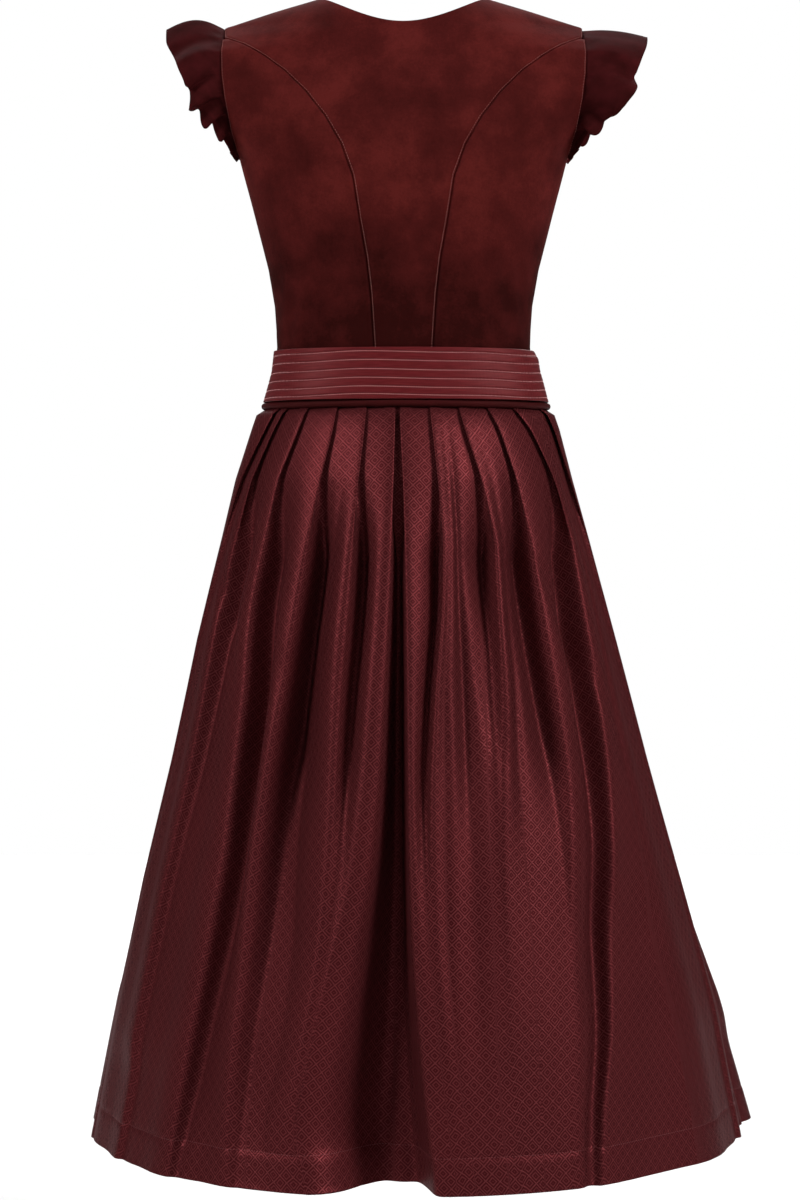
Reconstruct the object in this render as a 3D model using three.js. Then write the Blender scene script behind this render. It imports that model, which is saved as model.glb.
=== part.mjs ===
// Dirndl dress on an empty hollow form: seamed bodice, gathered armhole frills,
// stitched waistband, round waist piping and a pleated skirt in two panels.
// Millimetres, +Z up. The photographed back faces -Y and the wearer's right is +X.
// The origin lies midway between the neck ends of the two shoulder seams.

import * as THREE from 'three';

// main sizes
const WALL = 1.2;
const SEAM_GAP = 0.15;
const NECK_HALF = 85;
const NECK_DROP = 31.5;
const SHOULDER_FALL = 0.305;
const SHOULDER_ROUND = 50;
const SECTION_POWER = 2.2;
const WAIST_Z = -403;
const UNDERARM_Z = -165;
const BAND_TOP_Z = -352;
const BAND_BOTTOM_Z = -402.6;
const BAND_WALL = 1.6;
const PIPING_Z = -407.1;
const PIPING_RADIUS = 3.5;
const SKIRT_TOP_Z = -411.2;
const HEM_Z = -1141;
const RAD = Math.PI / 180;

// bodice sections: half width at the side seam, depth of the back, depth of the front
const BODICE = [
  { z: 30, half: 162, back: 55, front: 60 },
  { z: 0, half: 162, back: 55, front: 60 },
  { z: -32, half: 162, back: 65, front: 70 },
  { z: -60, half: 162, back: 78, front: 80 },
  { z: -100, half: 162, back: 92, front: 92 },
  { z: -140, half: 162, back: 100, front: 104 },
  { z: -165, half: 162, back: 101, front: 112 },
  { z: -199, half: 153, back: 99, front: 121 },
  { z: -235, half: 144, back: 94, front: 124 },
  { z: -271, half: 134.5, back: 88, front: 112 },
  { z: -307, half: 128.5, back: 84, front: 100 },
  { z: -331, half: 127, back: 83, front: 95 },
  { z: -349, half: 126, back: 83, front: 93 },
  { z: -372, half: 129, back: 86, front: 94 },
  { z: -403, half: 137, back: 91, front: 97 },
];

// armhole edge, from the shoulder tip down to the underarm
const ARMHOLE = [
  { z: 30, x: 179, back: 0, front: 0 },
  { z: -28.7, x: 179, back: 0, front: 0 },
  { z: -41, x: 180.2, back: 21, front: 17 },
  { z: -57, x: 181, back: 42, front: 34 },
  { z: -80, x: 180, back: 50, front: 47 },
  { z: -105, x: 177, back: 50, front: 53 },
  { z: -134, x: 171.5, back: 42, front: 46 },
  { z: -155, x: 165, back: 25, front: 27 },
  { z: -162, x: 163, back: 12, front: 13 },
  { z: -165, x: 162, back: 0, front: 0 },
];

// back princess seam, from the waist up to the armhole and on to the shoulder tip
const BACK_SEAM = [
  { x: 28, z: -403 },
  { x: 28.4, z: -376 },
  { x: 29, z: -349 },
  { x: 32, z: -300 },
  { x: 36, z: -265 },
  { x: 42, z: -232 },
  { x: 49, z: -187 },
  { x: 60, z: -156 },
  { x: 76, z: -128 },
  { x: 95, z: -103 },
  { x: 116.5, z: -81 },
  { x: 137, z: -65 },
  { x: 158, z: -51 },
  { x: 178, z: -41 },
  { x: 179, z: -35 },
  { x: 179, z: -31 },
  { x: 179, z: -28.7 },
];

// front centre panel: its inner edge (closing edge, then neckline) and its outer edge
const FRONT_EDGES = [
  { innerX: 0, innerZ: -403, outerX: 45, outerZ: -403 },
  { innerX: 0, innerZ: -372, outerX: 46, outerZ: -372 },
  { innerX: 0, innerZ: -340, outerX: 51, outerZ: -340 },
  { innerX: 0, innerZ: -295, outerX: 60, outerZ: -295 },
  { innerX: 0, innerZ: -255, outerX: 70, outerZ: -255 },
  { innerX: 0, innerZ: -218, outerX: 80, outerZ: -215 },
  { innerX: 0, innerZ: -188, outerX: 94, outerZ: -176 },
  { innerX: 0, innerZ: -165, outerX: 112, outerZ: -143 },
  { innerX: 30, innerZ: -156, outerX: 138, outerZ: -111 },
  { innerX: 51, innerZ: -132, outerX: 172, outerZ: -86 },
  { innerX: 63, innerZ: -100, outerX: 179, outerZ: -69 },
  { innerX: 72, innerZ: -66, outerX: 180, outerZ: -54 },
  { innerX: 79, innerZ: -34, outerX: 179.5, outerZ: -41 },
  { innerX: 82.5, innerZ: -14, outerX: 179, outerZ: -34 },
  { innerX: 84.3, innerZ: -4, outerX: 179, outerZ: -30.5 },
  { innerX: 85, innerZ: 0, outerX: 179, outerZ: -28.7 },
];

// armhole frill: how far its outer edge stands from the seam, the height of its waves, how far
// their crests lean towards the underarm and how much farther than the troughs they reach; part
// runs from the shoulder tip (0) to the underarm (1)
const FRILL_LEFT = [
  { part: 0, out: 57, fall: -2, away: 0, arch: 10, wave: 2, lean: 0, lobe: 0 },
  { part: 0.06, out: 55, fall: -8, away: 2, arch: 8, wave: 2, lean: 3, lobe: 0 },
  { part: 0.12, out: 48, fall: -10, away: 5, arch: 6, wave: 3, lean: 8, lobe: 0 },
  { part: 0.26, out: 36, fall: -10, away: 9, arch: 4, wave: 6, lean: 15, lobe: 0 },
  { part: 0.34, out: 33, fall: -14, away: 11, arch: 4, wave: 7, lean: 12, lobe: 0 },
  { part: 0.42, out: 30, fall: -15, away: 12, arch: 4, wave: 7, lean: 10, lobe: 2 },
  { part: 0.53, out: 30, fall: -12, away: 12, arch: 4, wave: 7, lean: 7, lobe: 5 },
  { part: 0.6, out: 23, fall: -13, away: 12, arch: 4, wave: 6.5, lean: 7, lobe: 6 },
  { part: 0.665, out: 16, fall: -11, away: 12, arch: 3, wave: 6, lean: 6, lobe: 6 },
  { part: 0.72, out: 12, fall: -10, away: 11, arch: 3, wave: 5.5, lean: 6, lobe: 5 },
  { part: 0.79, out: 7, fall: -8, away: 10, arch: 2, wave: 5, lean: 5, lobe: 4.5 },
  { part: 0.85, out: 5, fall: -6, away: 8, arch: 1, wave: 4, lean: 4, lobe: 2.5 },
  { part: 0.915, out: 3.5, fall: -6, away: 6, arch: 0, wave: 3, lean: 3, lobe: 1.2 },
  { part: 1, out: 2, fall: -2, away: 5, arch: 0, wave: 2, lean: 0, lobe: 0 },
];
const FRILL_RIGHT = [
  { part: 0, out: 64, fall: -7, away: 0, arch: 3, wave: 1, lean: 0, lobe: 0 },
  { part: 0.07, out: 61, fall: -10, away: 3, arch: 3, wave: 2, lean: 2, lobe: 0 },
  { part: 0.15, out: 54, fall: -12, away: 6, arch: 5, wave: 3, lean: 4, lobe: 0 },
  { part: 0.25, out: 48, fall: -14, away: 9, arch: 5, wave: 5, lean: 4, lobe: 1 },
  { part: 0.29, out: 48, fall: -15, away: 10, arch: 5, wave: 6, lean: 4, lobe: 3.5 },
  { part: 0.34, out: 48, fall: -17, away: 11, arch: 5, wave: 6.5, lean: 4, lobe: 4 },
  { part: 0.43, out: 38, fall: -17, away: 13, arch: 5, wave: 7, lean: 5, lobe: 4.5 },
  { part: 0.5, out: 33, fall: -17, away: 13, arch: 4, wave: 7, lean: 6, lobe: 4 },
  { part: 0.58, out: 30, fall: -16, away: 13, arch: 4, wave: 6, lean: 6, lobe: 4 },
  { part: 0.67, out: 21, fall: -12, away: 12, arch: 3, wave: 5.5, lean: 6, lobe: 5 },
  { part: 0.74, out: 11, fall: -8, away: 11, arch: 2, wave: 5, lean: 5, lobe: 5 },
  { part: 0.81, out: 6, fall: -8, away: 10, arch: 1, wave: 5, lean: 4, lobe: 4 },
  { part: 0.88, out: 4.5, fall: -6, away: 8, arch: 0, wave: 4, lean: 3, lobe: 1.5 },
  { part: 1, out: 2, fall: 0, away: 4, arch: 0, wave: 2, lean: 0, lobe: 0 },
];
// where crests and troughs alternate between the shoulder tip and the underarm
const FOLDS_LEFT = [0, 0.12, 0.26, 0.42, 0.53, 0.6, 0.665, 0.72, 0.79, 0.85, 0.915, 0.955, 1];
const FOLDS_RIGHT = [0, 0.29, 0.43, 0.67, 0.74, 0.81, 0.88, 0.94, 1];
// the front half of the left frill stands higher at the shoulder
const FRONT_RISE_LEFT = 6;
const FRONT_RISE_RIGHT = 0;
// crests are rounder than the troughs by this share of a radian
const CREST_WIDTH = 0.45;
// the front half reaches less far towards the underarm
const FRONT_SHARE = 0.7;
const STEPS_A_WAVE = 8;
const FRILL_RINGS = 4;

// skirt sections measured over the tops of the folds; square rounds out the front corners
const SKIRT = [
  { z: -411, left: 145.5, right: 149.5, leftFront: 145, rightFront: 149,
    back: 98, front: 103, centre: 0, square: 0.02 },
  { z: -430, left: 152, right: 156, leftFront: 152, rightFront: 156,
    back: 110, front: 114, centre: 0, square: 0.03 },
  { z: -480, left: 168, right: 169, leftFront: 168, rightFront: 170,
    back: 130, front: 130, centre: 2, square: 0.04 },
  { z: -540, left: 182, right: 186, leftFront: 182, rightFront: 188,
    back: 148, front: 146, centre: 5, square: 0.05 },
  { z: -640, left: 207, right: 213, leftFront: 207, rightFront: 215,
    back: 176, front: 172, centre: 10, square: 0.06 },
  { z: -760, left: 233, right: 245, leftFront: 235, rightFront: 248,
    back: 207, front: 198, centre: 18, square: 0.08 },
  { z: -880, left: 262, right: 279, leftFront: 270, rightFront: 287,
    back: 240, front: 215, centre: 28, square: 0.1 },
  { z: -1010, left: 290, right: 315, leftFront: 303, rightFront: 334,
    back: 276, front: 230, centre: 38, square: 0.11 },
  { z: -1141, left: 315, right: 341, leftFront: 328, rightFront: 372,
    back: 308, front: 238, centre: 44, square: 0.12 },
];

// where each back fold stands, in degrees round from the centre back
const TRACK = [
  { z: -411, L0: -60, L1: -53, L2: -40.5, L3: -26.5, L3b: -21, L4: -14.2, CL: -2.9, V1: -2.6, V2: -2,
    CR: -1.7, R1: 9.6, R1b: 13.5, R2b: 17, R2: 21, R3b: 27, R3: 33, R4: 46, R5: 59, R0: 70 },
  { z: -430, L0: -64, L1: -57, L2: -42, L3: -26.5, L3b: -21, L4: -14.2, CL: -2.9, V1: -2.4, V2: -1.8,
    CR: -1.4, R1: 10, R1b: 13.7, R2b: 17.2, R2: 22, R3b: 28.5, R3: 36.5, R4: 53, R5: 64, R0: 75 },
  { z: -480, L0: -73, L1: -62, L2: -46, L3: -28, L3b: -21.5, L4: -14.5, CL: -3, V1: -2, V2: -1.2,
    CR: -0.4, R1: 11, R1b: 14, R2b: 18, R2: 26, R3b: 32, R3: 40, R4: 61, R5: 70, R0: 79 },
  { z: -540, L0: -80, L1: -65, L2: -47, L3: -30, L3b: -23, L4: -15, CL: -3.7, V1: -2, V2: -1,
    CR: 0.3, R1: 11.5, R1b: 14.3, R2b: 17.6, R2: 28, R3b: 33, R3: 41, R4: 62.5, R5: 71, R0: 82 },
  { z: -600, L0: -83, L1: -66, L2: -48, L3: -31, L3b: -24.5, L4: -15.3, CL: -4.5, V1: -2, V2: -0.8,
    CR: 0.6, R1: 10.5, R1b: 13, R2b: 17, R2: 26.5, R3b: 31.5, R3: 40.5, R4: 59.5, R5: 70.5, R0: 84 },
  { z: -680, L0: -84, L1: -64.5, L2: -44.5, L3: -32, L3b: -26.5, L4: -16, CL: -5.3, V1: -2.1, V2: -0.6,
    CR: 0.7, R1: 7.5, R1b: 11, R2b: 16.8, R2: 25, R3b: 31, R3: 40, R4: 57, R5: 67, R0: 85 },
  { z: -760, L0: -85, L1: -64, L2: -43.5, L3: -33.5, L3b: -27.5, L4: -16, CL: -6.2, V1: -2.2, V2: -0.4,
    CR: 0.8, R1: 5.8, R1b: 10.3, R2b: 16, R2: 22.5, R3b: 28.5, R3: 39.5, R4: 54, R5: 65, R0: 85 },
  { z: -840, L0: -85, L1: -64, L2: -42, L3: -33.5, L3b: -26, L4: -15.8, CL: -8, V1: -2.4, V2: -0.2,
    CR: 1, R1: 5.4, R1b: 9.5, R2b: 15.3, R2: 20.5, R3b: 26.5, R3: 36.5, R4: 49, R5: 64, R0: 85 },
  { z: -920, L0: -85, L1: -64, L2: -43, L3: -33, L3b: -23, L4: -15.8, CL: -10, V1: -2.5, V2: 0.2,
    CR: 1.6, R1: 5.8, R1b: 9, R2b: 14.5, R2: 19.5, R3b: 25.5, R3: 33.5, R4: 44, R5: 61, R0: 85 },
  { z: -1000, L0: -85, L1: -64, L2: -44, L3: -33, L3b: -22, L4: -16.5, CL: -11.5, V1: -2.6, V2: 0.8,
    CR: 2.6, R1: 6.8, R1b: 9.4, R2b: 13.8, R2: 18.5, R3b: 24, R3: 31, R4: 40, R5: 63, R0: 85 },
  { z: -1080, L0: -85, L1: -64, L2: -45, L3: -31.5, L3b: -22, L4: -17.5, CL: -13, V1: -2.8, V2: 1.6,
    CR: 3.9, R1: 8, R1b: 10.5, R2b: 14, R2: 18.5, R3b: 23.5, R3: 28.5, R4: 35, R5: 65, R0: 85 },
  { z: -1141, L0: -85, L1: -64, L2: -45, L3: -31, L3b: -23, L4: -18.5, CL: -14, V1: -3, V2: 2.4,
    CR: 5.2, R1: 9.4, R1b: 12, R2b: 15, R2: 18.8, R3b: 23, R3: 27.5, R4: 33, R5: 64, R0: 85 },
];

// how deep each back fold is at six heights
const DEPTH_Z = [-411, -560, -740, -900, -1060, -1141];
const DEPTH = {
  L0: [6, 5, 4, 3, 3, 5],
  L1: [6, 12, 10, 8, 6, 8],
  L2: [6, 13, 14, 14, 12, 8],
  L3: [6, 14, 16, 12, 8, 5],
  L3b: [0, 4, 9, 8, 4, 2],
  L4: [6, 12, 12, 5, 0.6, 0.3],
  C: [6, 20, 38, 50, 60, 64],
  R1: [6, 11, 9, 2, 0.5, 0.3],
  R1b: [0, 2, 7, 4, 0.8, 0.3],
  R2b: [0, 6, 10, 7, 2, 0.5],
  R2: [6, 13, 6, 2, 0.6, 0.4],
  R3b: [0, 5, 9, 4, 0.6, 0.3],
  R3: [6, 13, 12, 3, 0.6, 0.3],
  R4: [6, 14, 18, 26, 24, 14],
  R5: [0, 4, 7, 8, 7, 5],
  R0: [6, 6, 5, 6, 8, 8],
};

// front folds, in degrees from the centre front, at the waist, the knee and the hem
const FRONT_FOLDS = [
  { waist: -72, knee: -80, hem: -81, open: 9, low: 8 },
  { waist: -61, knee: -66, hem: -67, open: 11, low: 8 },
  { waist: -49, knee: -53, hem: -52, open: 13, low: 16 },
  { waist: -37, knee: -39, hem: -41, open: 12, low: 9 },
  { waist: -25, knee: -26, hem: -25, open: 14, low: 18 },
  { waist: -13, knee: -13, hem: -15, open: 12, low: 8 },
  { waist: 13, knee: 14, hem: 13, open: 13, low: 15 },
  { waist: 25, knee: 25, hem: 27, open: 12, low: 8 },
  { waist: 37, knee: 38, hem: 37, open: 14, low: 17 },
  { waist: 49, knee: 51, hem: 54, open: 12, low: 9 },
  { waist: 61, knee: 64, hem: 64, open: 12, low: 12 },
  { waist: 72, knee: 79, hem: 80, open: 9, low: 8 },
];

const SKIRT_ROWS = [-411.2, -430, -458, -495, -545, -610, -690, -780, -870, -960, -1050, -1141];

function mix(a, b, t) {
  return a + (b - a) * t;
}

function clamp01(t) {
  return Math.min(1, Math.max(0, t));
}

function smooth(t) {
  const c = clamp01(t);
  return c * c * (3 - 2 * c);
}

// value of a named column at height z, along a table sorted downwards
function column(table, name, z) {
  if (z >= table[0].z) return table[0][name];
  for (let i = 1; i < table.length; i += 1) {
    const low = table[i];
    const high = table[i - 1];
    if (z >= low.z) return mix(high[name], low[name], (high.z - z) / (high.z - low.z));
  }
  return table[table.length - 1][name];
}

function listValue(heights, values, z) {
  const rows = heights.map((h, i) => ({ z: h, value: values[i] }));
  return column(rows, 'value', z);
}

// a closed wall between an outer and an inner grid of points
function wallGeometry(outer, inner, closedAcross) {
  const rows = outer.length;
  const cols = outer[0].length;
  const points = [];
  for (const grid of [outer, inner]) {
    for (const row of grid) {
      for (const p of row) points.push(p.x, p.y, p.z);
    }
  }
  const at = (side, i, j) => side * rows * cols + i * cols + (j % cols);
  const faces = [];
  const quad = (a, b, c, d) => faces.push(a, b, c, a, c, d);
  const last = closedAcross ? cols : cols - 1;
  for (let i = 0; i < rows - 1; i += 1) {
    for (let j = 0; j < last; j += 1) {
      quad(at(0, i, j), at(0, i, j + 1), at(0, i + 1, j + 1), at(0, i + 1, j));
      quad(at(1, i, j), at(1, i + 1, j), at(1, i + 1, j + 1), at(1, i, j + 1));
    }
  }
  for (let j = 0; j < last; j += 1) {
    quad(at(0, 0, j), at(1, 0, j), at(1, 0, j + 1), at(0, 0, j + 1));
    quad(at(0, rows - 1, j), at(0, rows - 1, j + 1), at(1, rows - 1, j + 1), at(1, rows - 1, j));
  }
  if (!closedAcross) {
    for (let i = 0; i < rows - 1; i += 1) {
      quad(at(0, i, 0), at(0, i + 1, 0), at(1, i + 1, 0), at(1, i, 0));
      quad(at(0, i, cols - 1), at(1, i, cols - 1), at(1, i + 1, cols - 1), at(0, i + 1, cols - 1));
    }
  }
  const geometry = new THREE.BufferGeometry();
  geometry.setAttribute('position', new THREE.Float32BufferAttribute(points, 3));
  geometry.setIndex(faces);
  return turnOutward(geometry);
}

// flips the faces when the enclosed volume comes out negative
function turnOutward(geometry) {
  const pos = geometry.getAttribute('position');
  const index = Array.from(geometry.getIndex().array);
  const a = new THREE.Vector3();
  const b = new THREE.Vector3();
  const c = new THREE.Vector3();
  let volume = 0;
  for (let k = 0; k < index.length; k += 3) {
    a.fromBufferAttribute(pos, index[k]);
    b.fromBufferAttribute(pos, index[k + 1]);
    c.fromBufferAttribute(pos, index[k + 2]);
    volume += a.dot(b.cross(c)) / 6;
  }
  if (volume < 0) {
    for (let k = 0; k < index.length; k += 3) {
      const keep = index[k + 1];
      index[k + 1] = index[k + 2];
      index[k + 2] = keep;
    }
    geometry.setIndex(index);
  }
  geometry.computeVertexNormals();
  return geometry;
}

// shoulder line, carried on straight inside the neck
function shoulderZ(x) {
  return (NECK_HALF - Math.abs(x)) * SHOULDER_FALL;
}

// upper edge of the back: neckline, then shoulder seam
function backTopZ(x) {
  const ax = Math.abs(x);
  if (ax >= NECK_HALF) return shoulderZ(ax);
  return -NECK_DROP * Math.pow(1 - (ax / NECK_HALF) ** 2, 1.2);
}

function roundOff(x, z) {
  const h = clamp01((shoulderZ(x) - z) / SHOULDER_ROUND);
  return Math.sqrt(Math.max(0, 1 - (1 - h) ** 2));
}

function bodiceDepth(side, x, z) {
  return column(BODICE, side, z) * roundOff(x, z);
}

// half width of the section: the side seam below the underarm, above it wide enough
// for the section to pass through the armhole edge
function bodiceHalf(side, z) {
  if (z <= UNDERARM_Z) return column(BODICE, 'half', z);
  const edgeX = column(ARMHOLE, 'x', z);
  const edgeY = column(ARMHOLE, side, z);
  const depth = Math.max(1, bodiceDepth(side, edgeX, z));
  const ratio = Math.min(0.97, edgeY / depth);
  return edgeX / Math.pow(1 - ratio ** SECTION_POWER, 1 / SECTION_POWER);
}

function bodiceSign(side) {
  return side === 'back' ? -1 : 1;
}

function bodicePoint(side, x, z) {
  const a = bodiceHalf(side, z);
  const left = Math.max(0, 1 - Math.abs(x / a) ** SECTION_POWER);
  const y = bodiceDepth(side, x, z) * Math.pow(left, 1 / SECTION_POWER);
  return new THREE.Vector3(x, bodiceSign(side) * y, z);
}

// outward direction of the bodice surface, from the slope of its section rule
function bodiceNormal(side, p) {
  if (Math.abs(p.y) < SEAM_GAP + 0.01 && p.z > UNDERARM_Z / 2) {
    return new THREE.Vector3(Math.sign(p.x) * SHOULDER_FALL, 0, 1).normalize();
  }
  const rule = (x, y, z) => {
    const a = bodiceHalf(side, z);
    const b = Math.max(0.5, bodiceDepth(side, x, z));
    return Math.abs(x / a) ** SECTION_POWER + Math.abs(y / b) ** SECTION_POWER;
  };
  const y = Math.abs(p.y) < 0.2 ? 0.2 * bodiceSign(side) : p.y;
  const e = 0.4;
  const n = new THREE.Vector3(
    rule(p.x + e, y, p.z) - rule(p.x - e, y, p.z),
    rule(p.x, y + 0.1, p.z) - rule(p.x, y - 0.1, p.z),
    rule(p.x, y, p.z + e) - rule(p.x, y, p.z - e),
  );
  n.y *= e / 0.1;
  return n.normalize();
}

function bodiceWall(side, grid) {
  const shrink = (p) => p.clone().addScaledVector(bodiceNormal(side, p), -WALL);
  const inner = grid.map((row) => row.map(shrink));
  return wallGeometry(grid, inner, false);
}

// back centre panel: rows run from seam to seam and bend up into neck and shoulders
function backCentre() {
  const steps = 14;
  const topZ = BACK_SEAM[BACK_SEAM.length - 1].z;
  const grid = BACK_SEAM.map((end, i) => {
    const part = (end.z - WAIST_Z) / (topZ - WAIST_Z);
    const row = [];
    for (let j = 0; j <= steps; j += 1) {
      const u = -1 + (2 * j) / steps;
      const x = u * (end.x - SEAM_GAP);
      let z = end.z + part * (backTopZ(u * 179) - topZ);
      if (i === BACK_SEAM.length - 1) z = backTopZ(x);
      const p = bodicePoint('back', x, z);
      p.y = Math.min(p.y, -SEAM_GAP);
      row.push(p);
    }
    return row;
  });
  return bodiceWall('back', grid);
}

// side panel rows, from the princess seam out to the armhole or the side seam
function sidePanel(side, hand, seamX, heights) {
  const steps = 6;
  const power = SECTION_POWER / 2;
  const grid = heights.map((z) => {
    const a = bodiceHalf(side, z);
    const innerX = seamX(z) + SEAM_GAP;
    const from = Math.asin(Math.min(1, Math.pow(innerX / a, power)));
    let to = Math.acos(Math.pow(SEAM_GAP / column(BODICE, side, z), power));
    if (z > UNDERARM_Z) {
      const edgeX = column(ARMHOLE, 'x', z);
      to = Math.min(to, Math.asin(Math.min(1, Math.pow(edgeX / a, power))));
    }
    const row = [];
    for (let j = 0; j <= steps; j += 1) {
      const angle = mix(from, to, j / steps);
      const x = a * Math.pow(Math.sin(angle), 1 / power);
      const y = bodiceDepth(side, x, z) * Math.pow(Math.cos(angle), 1 / power);
      row.push(new THREE.Vector3(hand * x, bodiceSign(side) * Math.max(SEAM_GAP, y), z));
    }
    return row;
  });
  return bodiceWall(side, grid);
}

function seamXAt(list, xName, zName, z) {
  for (let i = 1; i < list.length; i += 1) {
    if (z <= list[i][zName]) {
      const t = (z - list[i - 1][zName]) / (list[i][zName] - list[i - 1][zName]);
      return mix(list[i - 1][xName], list[i][xName], clamp01(t));
    }
  }
  return list[list.length - 1][xName];
}

// front centre panel: straight rulings between its two edges
function frontCentre(hand) {
  const steps = 8;
  const grid = FRONT_EDGES.map((edge, i) => {
    const row = [];
    for (let j = 0; j <= steps; j += 1) {
      const t = j / steps;
      const x = mix(edge.innerX + SEAM_GAP, edge.outerX - SEAM_GAP, t);
      let z = mix(edge.innerZ, edge.outerZ, t);
      if (i === FRONT_EDGES.length - 1) z = shoulderZ(x);
      const p = bodicePoint('front', hand * x, z);
      p.y = Math.max(p.y, SEAM_GAP);
      row.push(p);
    }
    return row;
  });
  return bodiceWall('front', grid);
}

function columnByPart(table, name, part) {
  return column(table.map((r) => ({ z: -r.part, value: r[name] })), 'value', -part);
}

// point of the armhole edge; turn runs from the back underarm (0) over the shoulder
// to the front (1)
function armholePoint(hand, turn) {
  const side = turn < 0.5 ? 'back' : 'front';
  const part = Math.abs(turn - 0.5) * 2;
  const z = mix(-28.7, UNDERARM_Z, part);
  const depth = bodiceSign(side) * column(ARMHOLE, side, z);
  const p = new THREE.Vector3(hand * column(ARMHOLE, 'x', z), depth, z);
  return { p, part };
}

// part of the way to the underarm at which a number of folds has been passed
function foldPlace(folds, count) {
  const k = Math.min(folds.length - 2, Math.floor(count));
  return mix(folds[k], folds[k + 1], count - k);
}

// gathered frill: rays leave the armhole edge, waves grow and lean over towards the free edge
function frill(hand, table, folds, frontRise) {
  const centre = new THREE.Vector3(hand * 172, 0, -97);
  const waves = (folds.length - 1) / 2;
  const steps = waves * 2 * STEPS_A_WAVE;
  const mids = [];
  for (let i = 0; i <= FRILL_RINGS; i += 1) mids.push([]);
  for (let j = 0; j <= steps; j += 1) {
    const phase = mix(-waves, waves, j / steps);
    const side = Math.sign(phase);
    const turn = 0.5 + 0.48 * side * foldPlace(folds, 2 * Math.abs(phase));
    const { p, part } = armholePoint(hand, turn);
    const inward = centre.clone().sub(p).setX(0).normalize();
    const start = p.clone().addScaledVector(inward, 1.1);
    start.x += hand * 1.1;
    const rise = side > 0 ? frontRise * smooth(part * 25) : 0;
    const share = side > 0 ? mix(1, FRONT_SHARE, smooth((part - 0.3) * 4)) : 1;
    const tip = new THREE.Vector3(
      hand * columnByPart(table, 'out', part) * share,
      side * columnByPart(table, 'away', part),
      columnByPart(table, 'fall', part) * share + rise,
    );
    const arch = columnByPart(table, 'arch', part);
    const wave = columnByPart(table, 'wave', part) * share;
    const lobe = columnByPart(table, 'lobe', part) * share;
    const lean = columnByPart(table, 'lean', part) * side;
    const before = armholePoint(hand, turn - 0.01).p;
    const after = armholePoint(hand, turn + 0.01).p;
    const along = after.sub(before).normalize();
    const normal = new THREE.Vector3().crossVectors(along, tip).normalize().multiplyScalar(-hand);
    const outward = tip.clone().normalize();
    const swing = phase * Math.PI * 2;
    const crest = Math.cos(swing - CREST_WIDTH * Math.sin(swing));
    for (let i = 0; i <= FRILL_RINGS; i += 1) {
      const r = i / FRILL_RINGS;
      const q = start.clone().addScaledVector(tip, r);
      q.z += arch * Math.sin(Math.PI * r);
      const grow = smooth(r * 3 + 0.1) * (0.4 + wave * r);
      q.addScaledVector(normal, grow * crest);
      q.addScaledVector(along, lean * r * 0.5 * (crest + 1));
      q.addScaledVector(outward, lobe * r * crest);
      mids[i].push(q);
    }
  }
  const normals = gridNormals(mids);
  const shift = (amount) => mids.map((row, i) => row.map((p, j) => {
    return p.clone().addScaledVector(normals[i][j], amount);
  }));
  return wallGeometry(shift(0.5), shift(-0.5), false);
}

// averaged surface directions of an open grid
function gridNormals(grid) {
  const rows = grid.length;
  const cols = grid[0].length;
  const make = (i, j) => {
    const sum = new THREE.Vector3();
    const steps = [[-1, -1], [-1, 0], [0, -1], [0, 0]];
    for (const [di, dj] of steps) {
      const a = i + di;
      const b = j + dj;
      if (a < 0 || b < 0 || a >= rows - 1 || b >= cols - 1) continue;
      const d1 = grid[a + 1][b + 1].clone().sub(grid[a][b]);
      const d2 = grid[a + 1][b].clone().sub(grid[a][b + 1]);
      const n = d1.cross(d2);
      if (n.lengthSq() > 0) sum.add(n.normalize());
    }
    return sum.normalize();
  };
  return grid.map((row, i) => row.map((p, j) => make(i, j)));
}

// closed ring wall: rows down a short profile, each lifted off the bodice
function waistband() {
  const steps = 72;
  const rows = [
    { z: BAND_TOP_Z, lift: 1.3, step: 0.2 },
    { z: -360, lift: 1.4, step: 1.1 },
    { z: -382, lift: 1.4, step: 1.3 },
    { z: BAND_BOTTOM_Z, lift: 1.3, step: 1.2 },
  ];
  const ring = (row, extra) => {
    const out = [];
    for (let j = 0; j < steps; j += 1) {
      const angle = (j / steps) * Math.PI * 2;
      const side = Math.sin(angle) < 0 ? 'back' : 'front';
      const power = SECTION_POWER / 2;
      const cx = Math.abs(Math.cos(angle)) ** (1 / power) * Math.sign(Math.cos(angle));
      const cy = Math.abs(Math.sin(angle)) ** (1 / power) * Math.sign(Math.sin(angle));
      const loose = row.step * 4 * smooth((Math.cos(angle) - 0.6) / 0.4);
      const lift = row.lift + extra + loose;
      const half = column(BODICE, 'half', row.z) + lift;
      const depth = column(BODICE, side, row.z) + lift;
      out.push(new THREE.Vector3(half * cx, depth * cy, row.z));
    }
    return out;
  };
  return wallGeometry(rows.map((r) => ring(r, BAND_WALL)), rows.map((r) => ring(r, 0)), true);
}

// round cord in the waist seam
function piping() {
  const around = 56;
  const section = 5;
  const points = [];
  const faces = [];
  for (let j = 0; j < around; j += 1) {
    const angle = (j / around) * Math.PI * 2;
    const c = Math.cos(angle);
    const s = Math.sin(angle);
    const half = c > 0 ? 143.5 : 138.5;
    const depth = s < 0 ? 92 : 97.5;
    for (let k = 0; k < section; k += 1) {
      const turn = ((k + 0.5) / section) * Math.PI * 2;
      const r = PIPING_RADIUS * Math.cos(turn);
      points.push((half + r) * c, (depth + r) * s, PIPING_Z + PIPING_RADIUS * Math.sin(turn));
    }
  }
  const at = (j, k) => (j % around) * section + (k % section);
  for (let j = 0; j < around; j += 1) {
    for (let k = 0; k < section; k += 1) {
      faces.push(at(j, k), at(j + 1, k), at(j + 1, k + 1));
      faces.push(at(j, k), at(j + 1, k + 1), at(j, k + 1));
    }
  }
  const geometry = new THREE.BufferGeometry();
  geometry.setAttribute('position', new THREE.Float32BufferAttribute(points, 3));
  geometry.setIndex(faces);
  return turnOutward(geometry);
}

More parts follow.
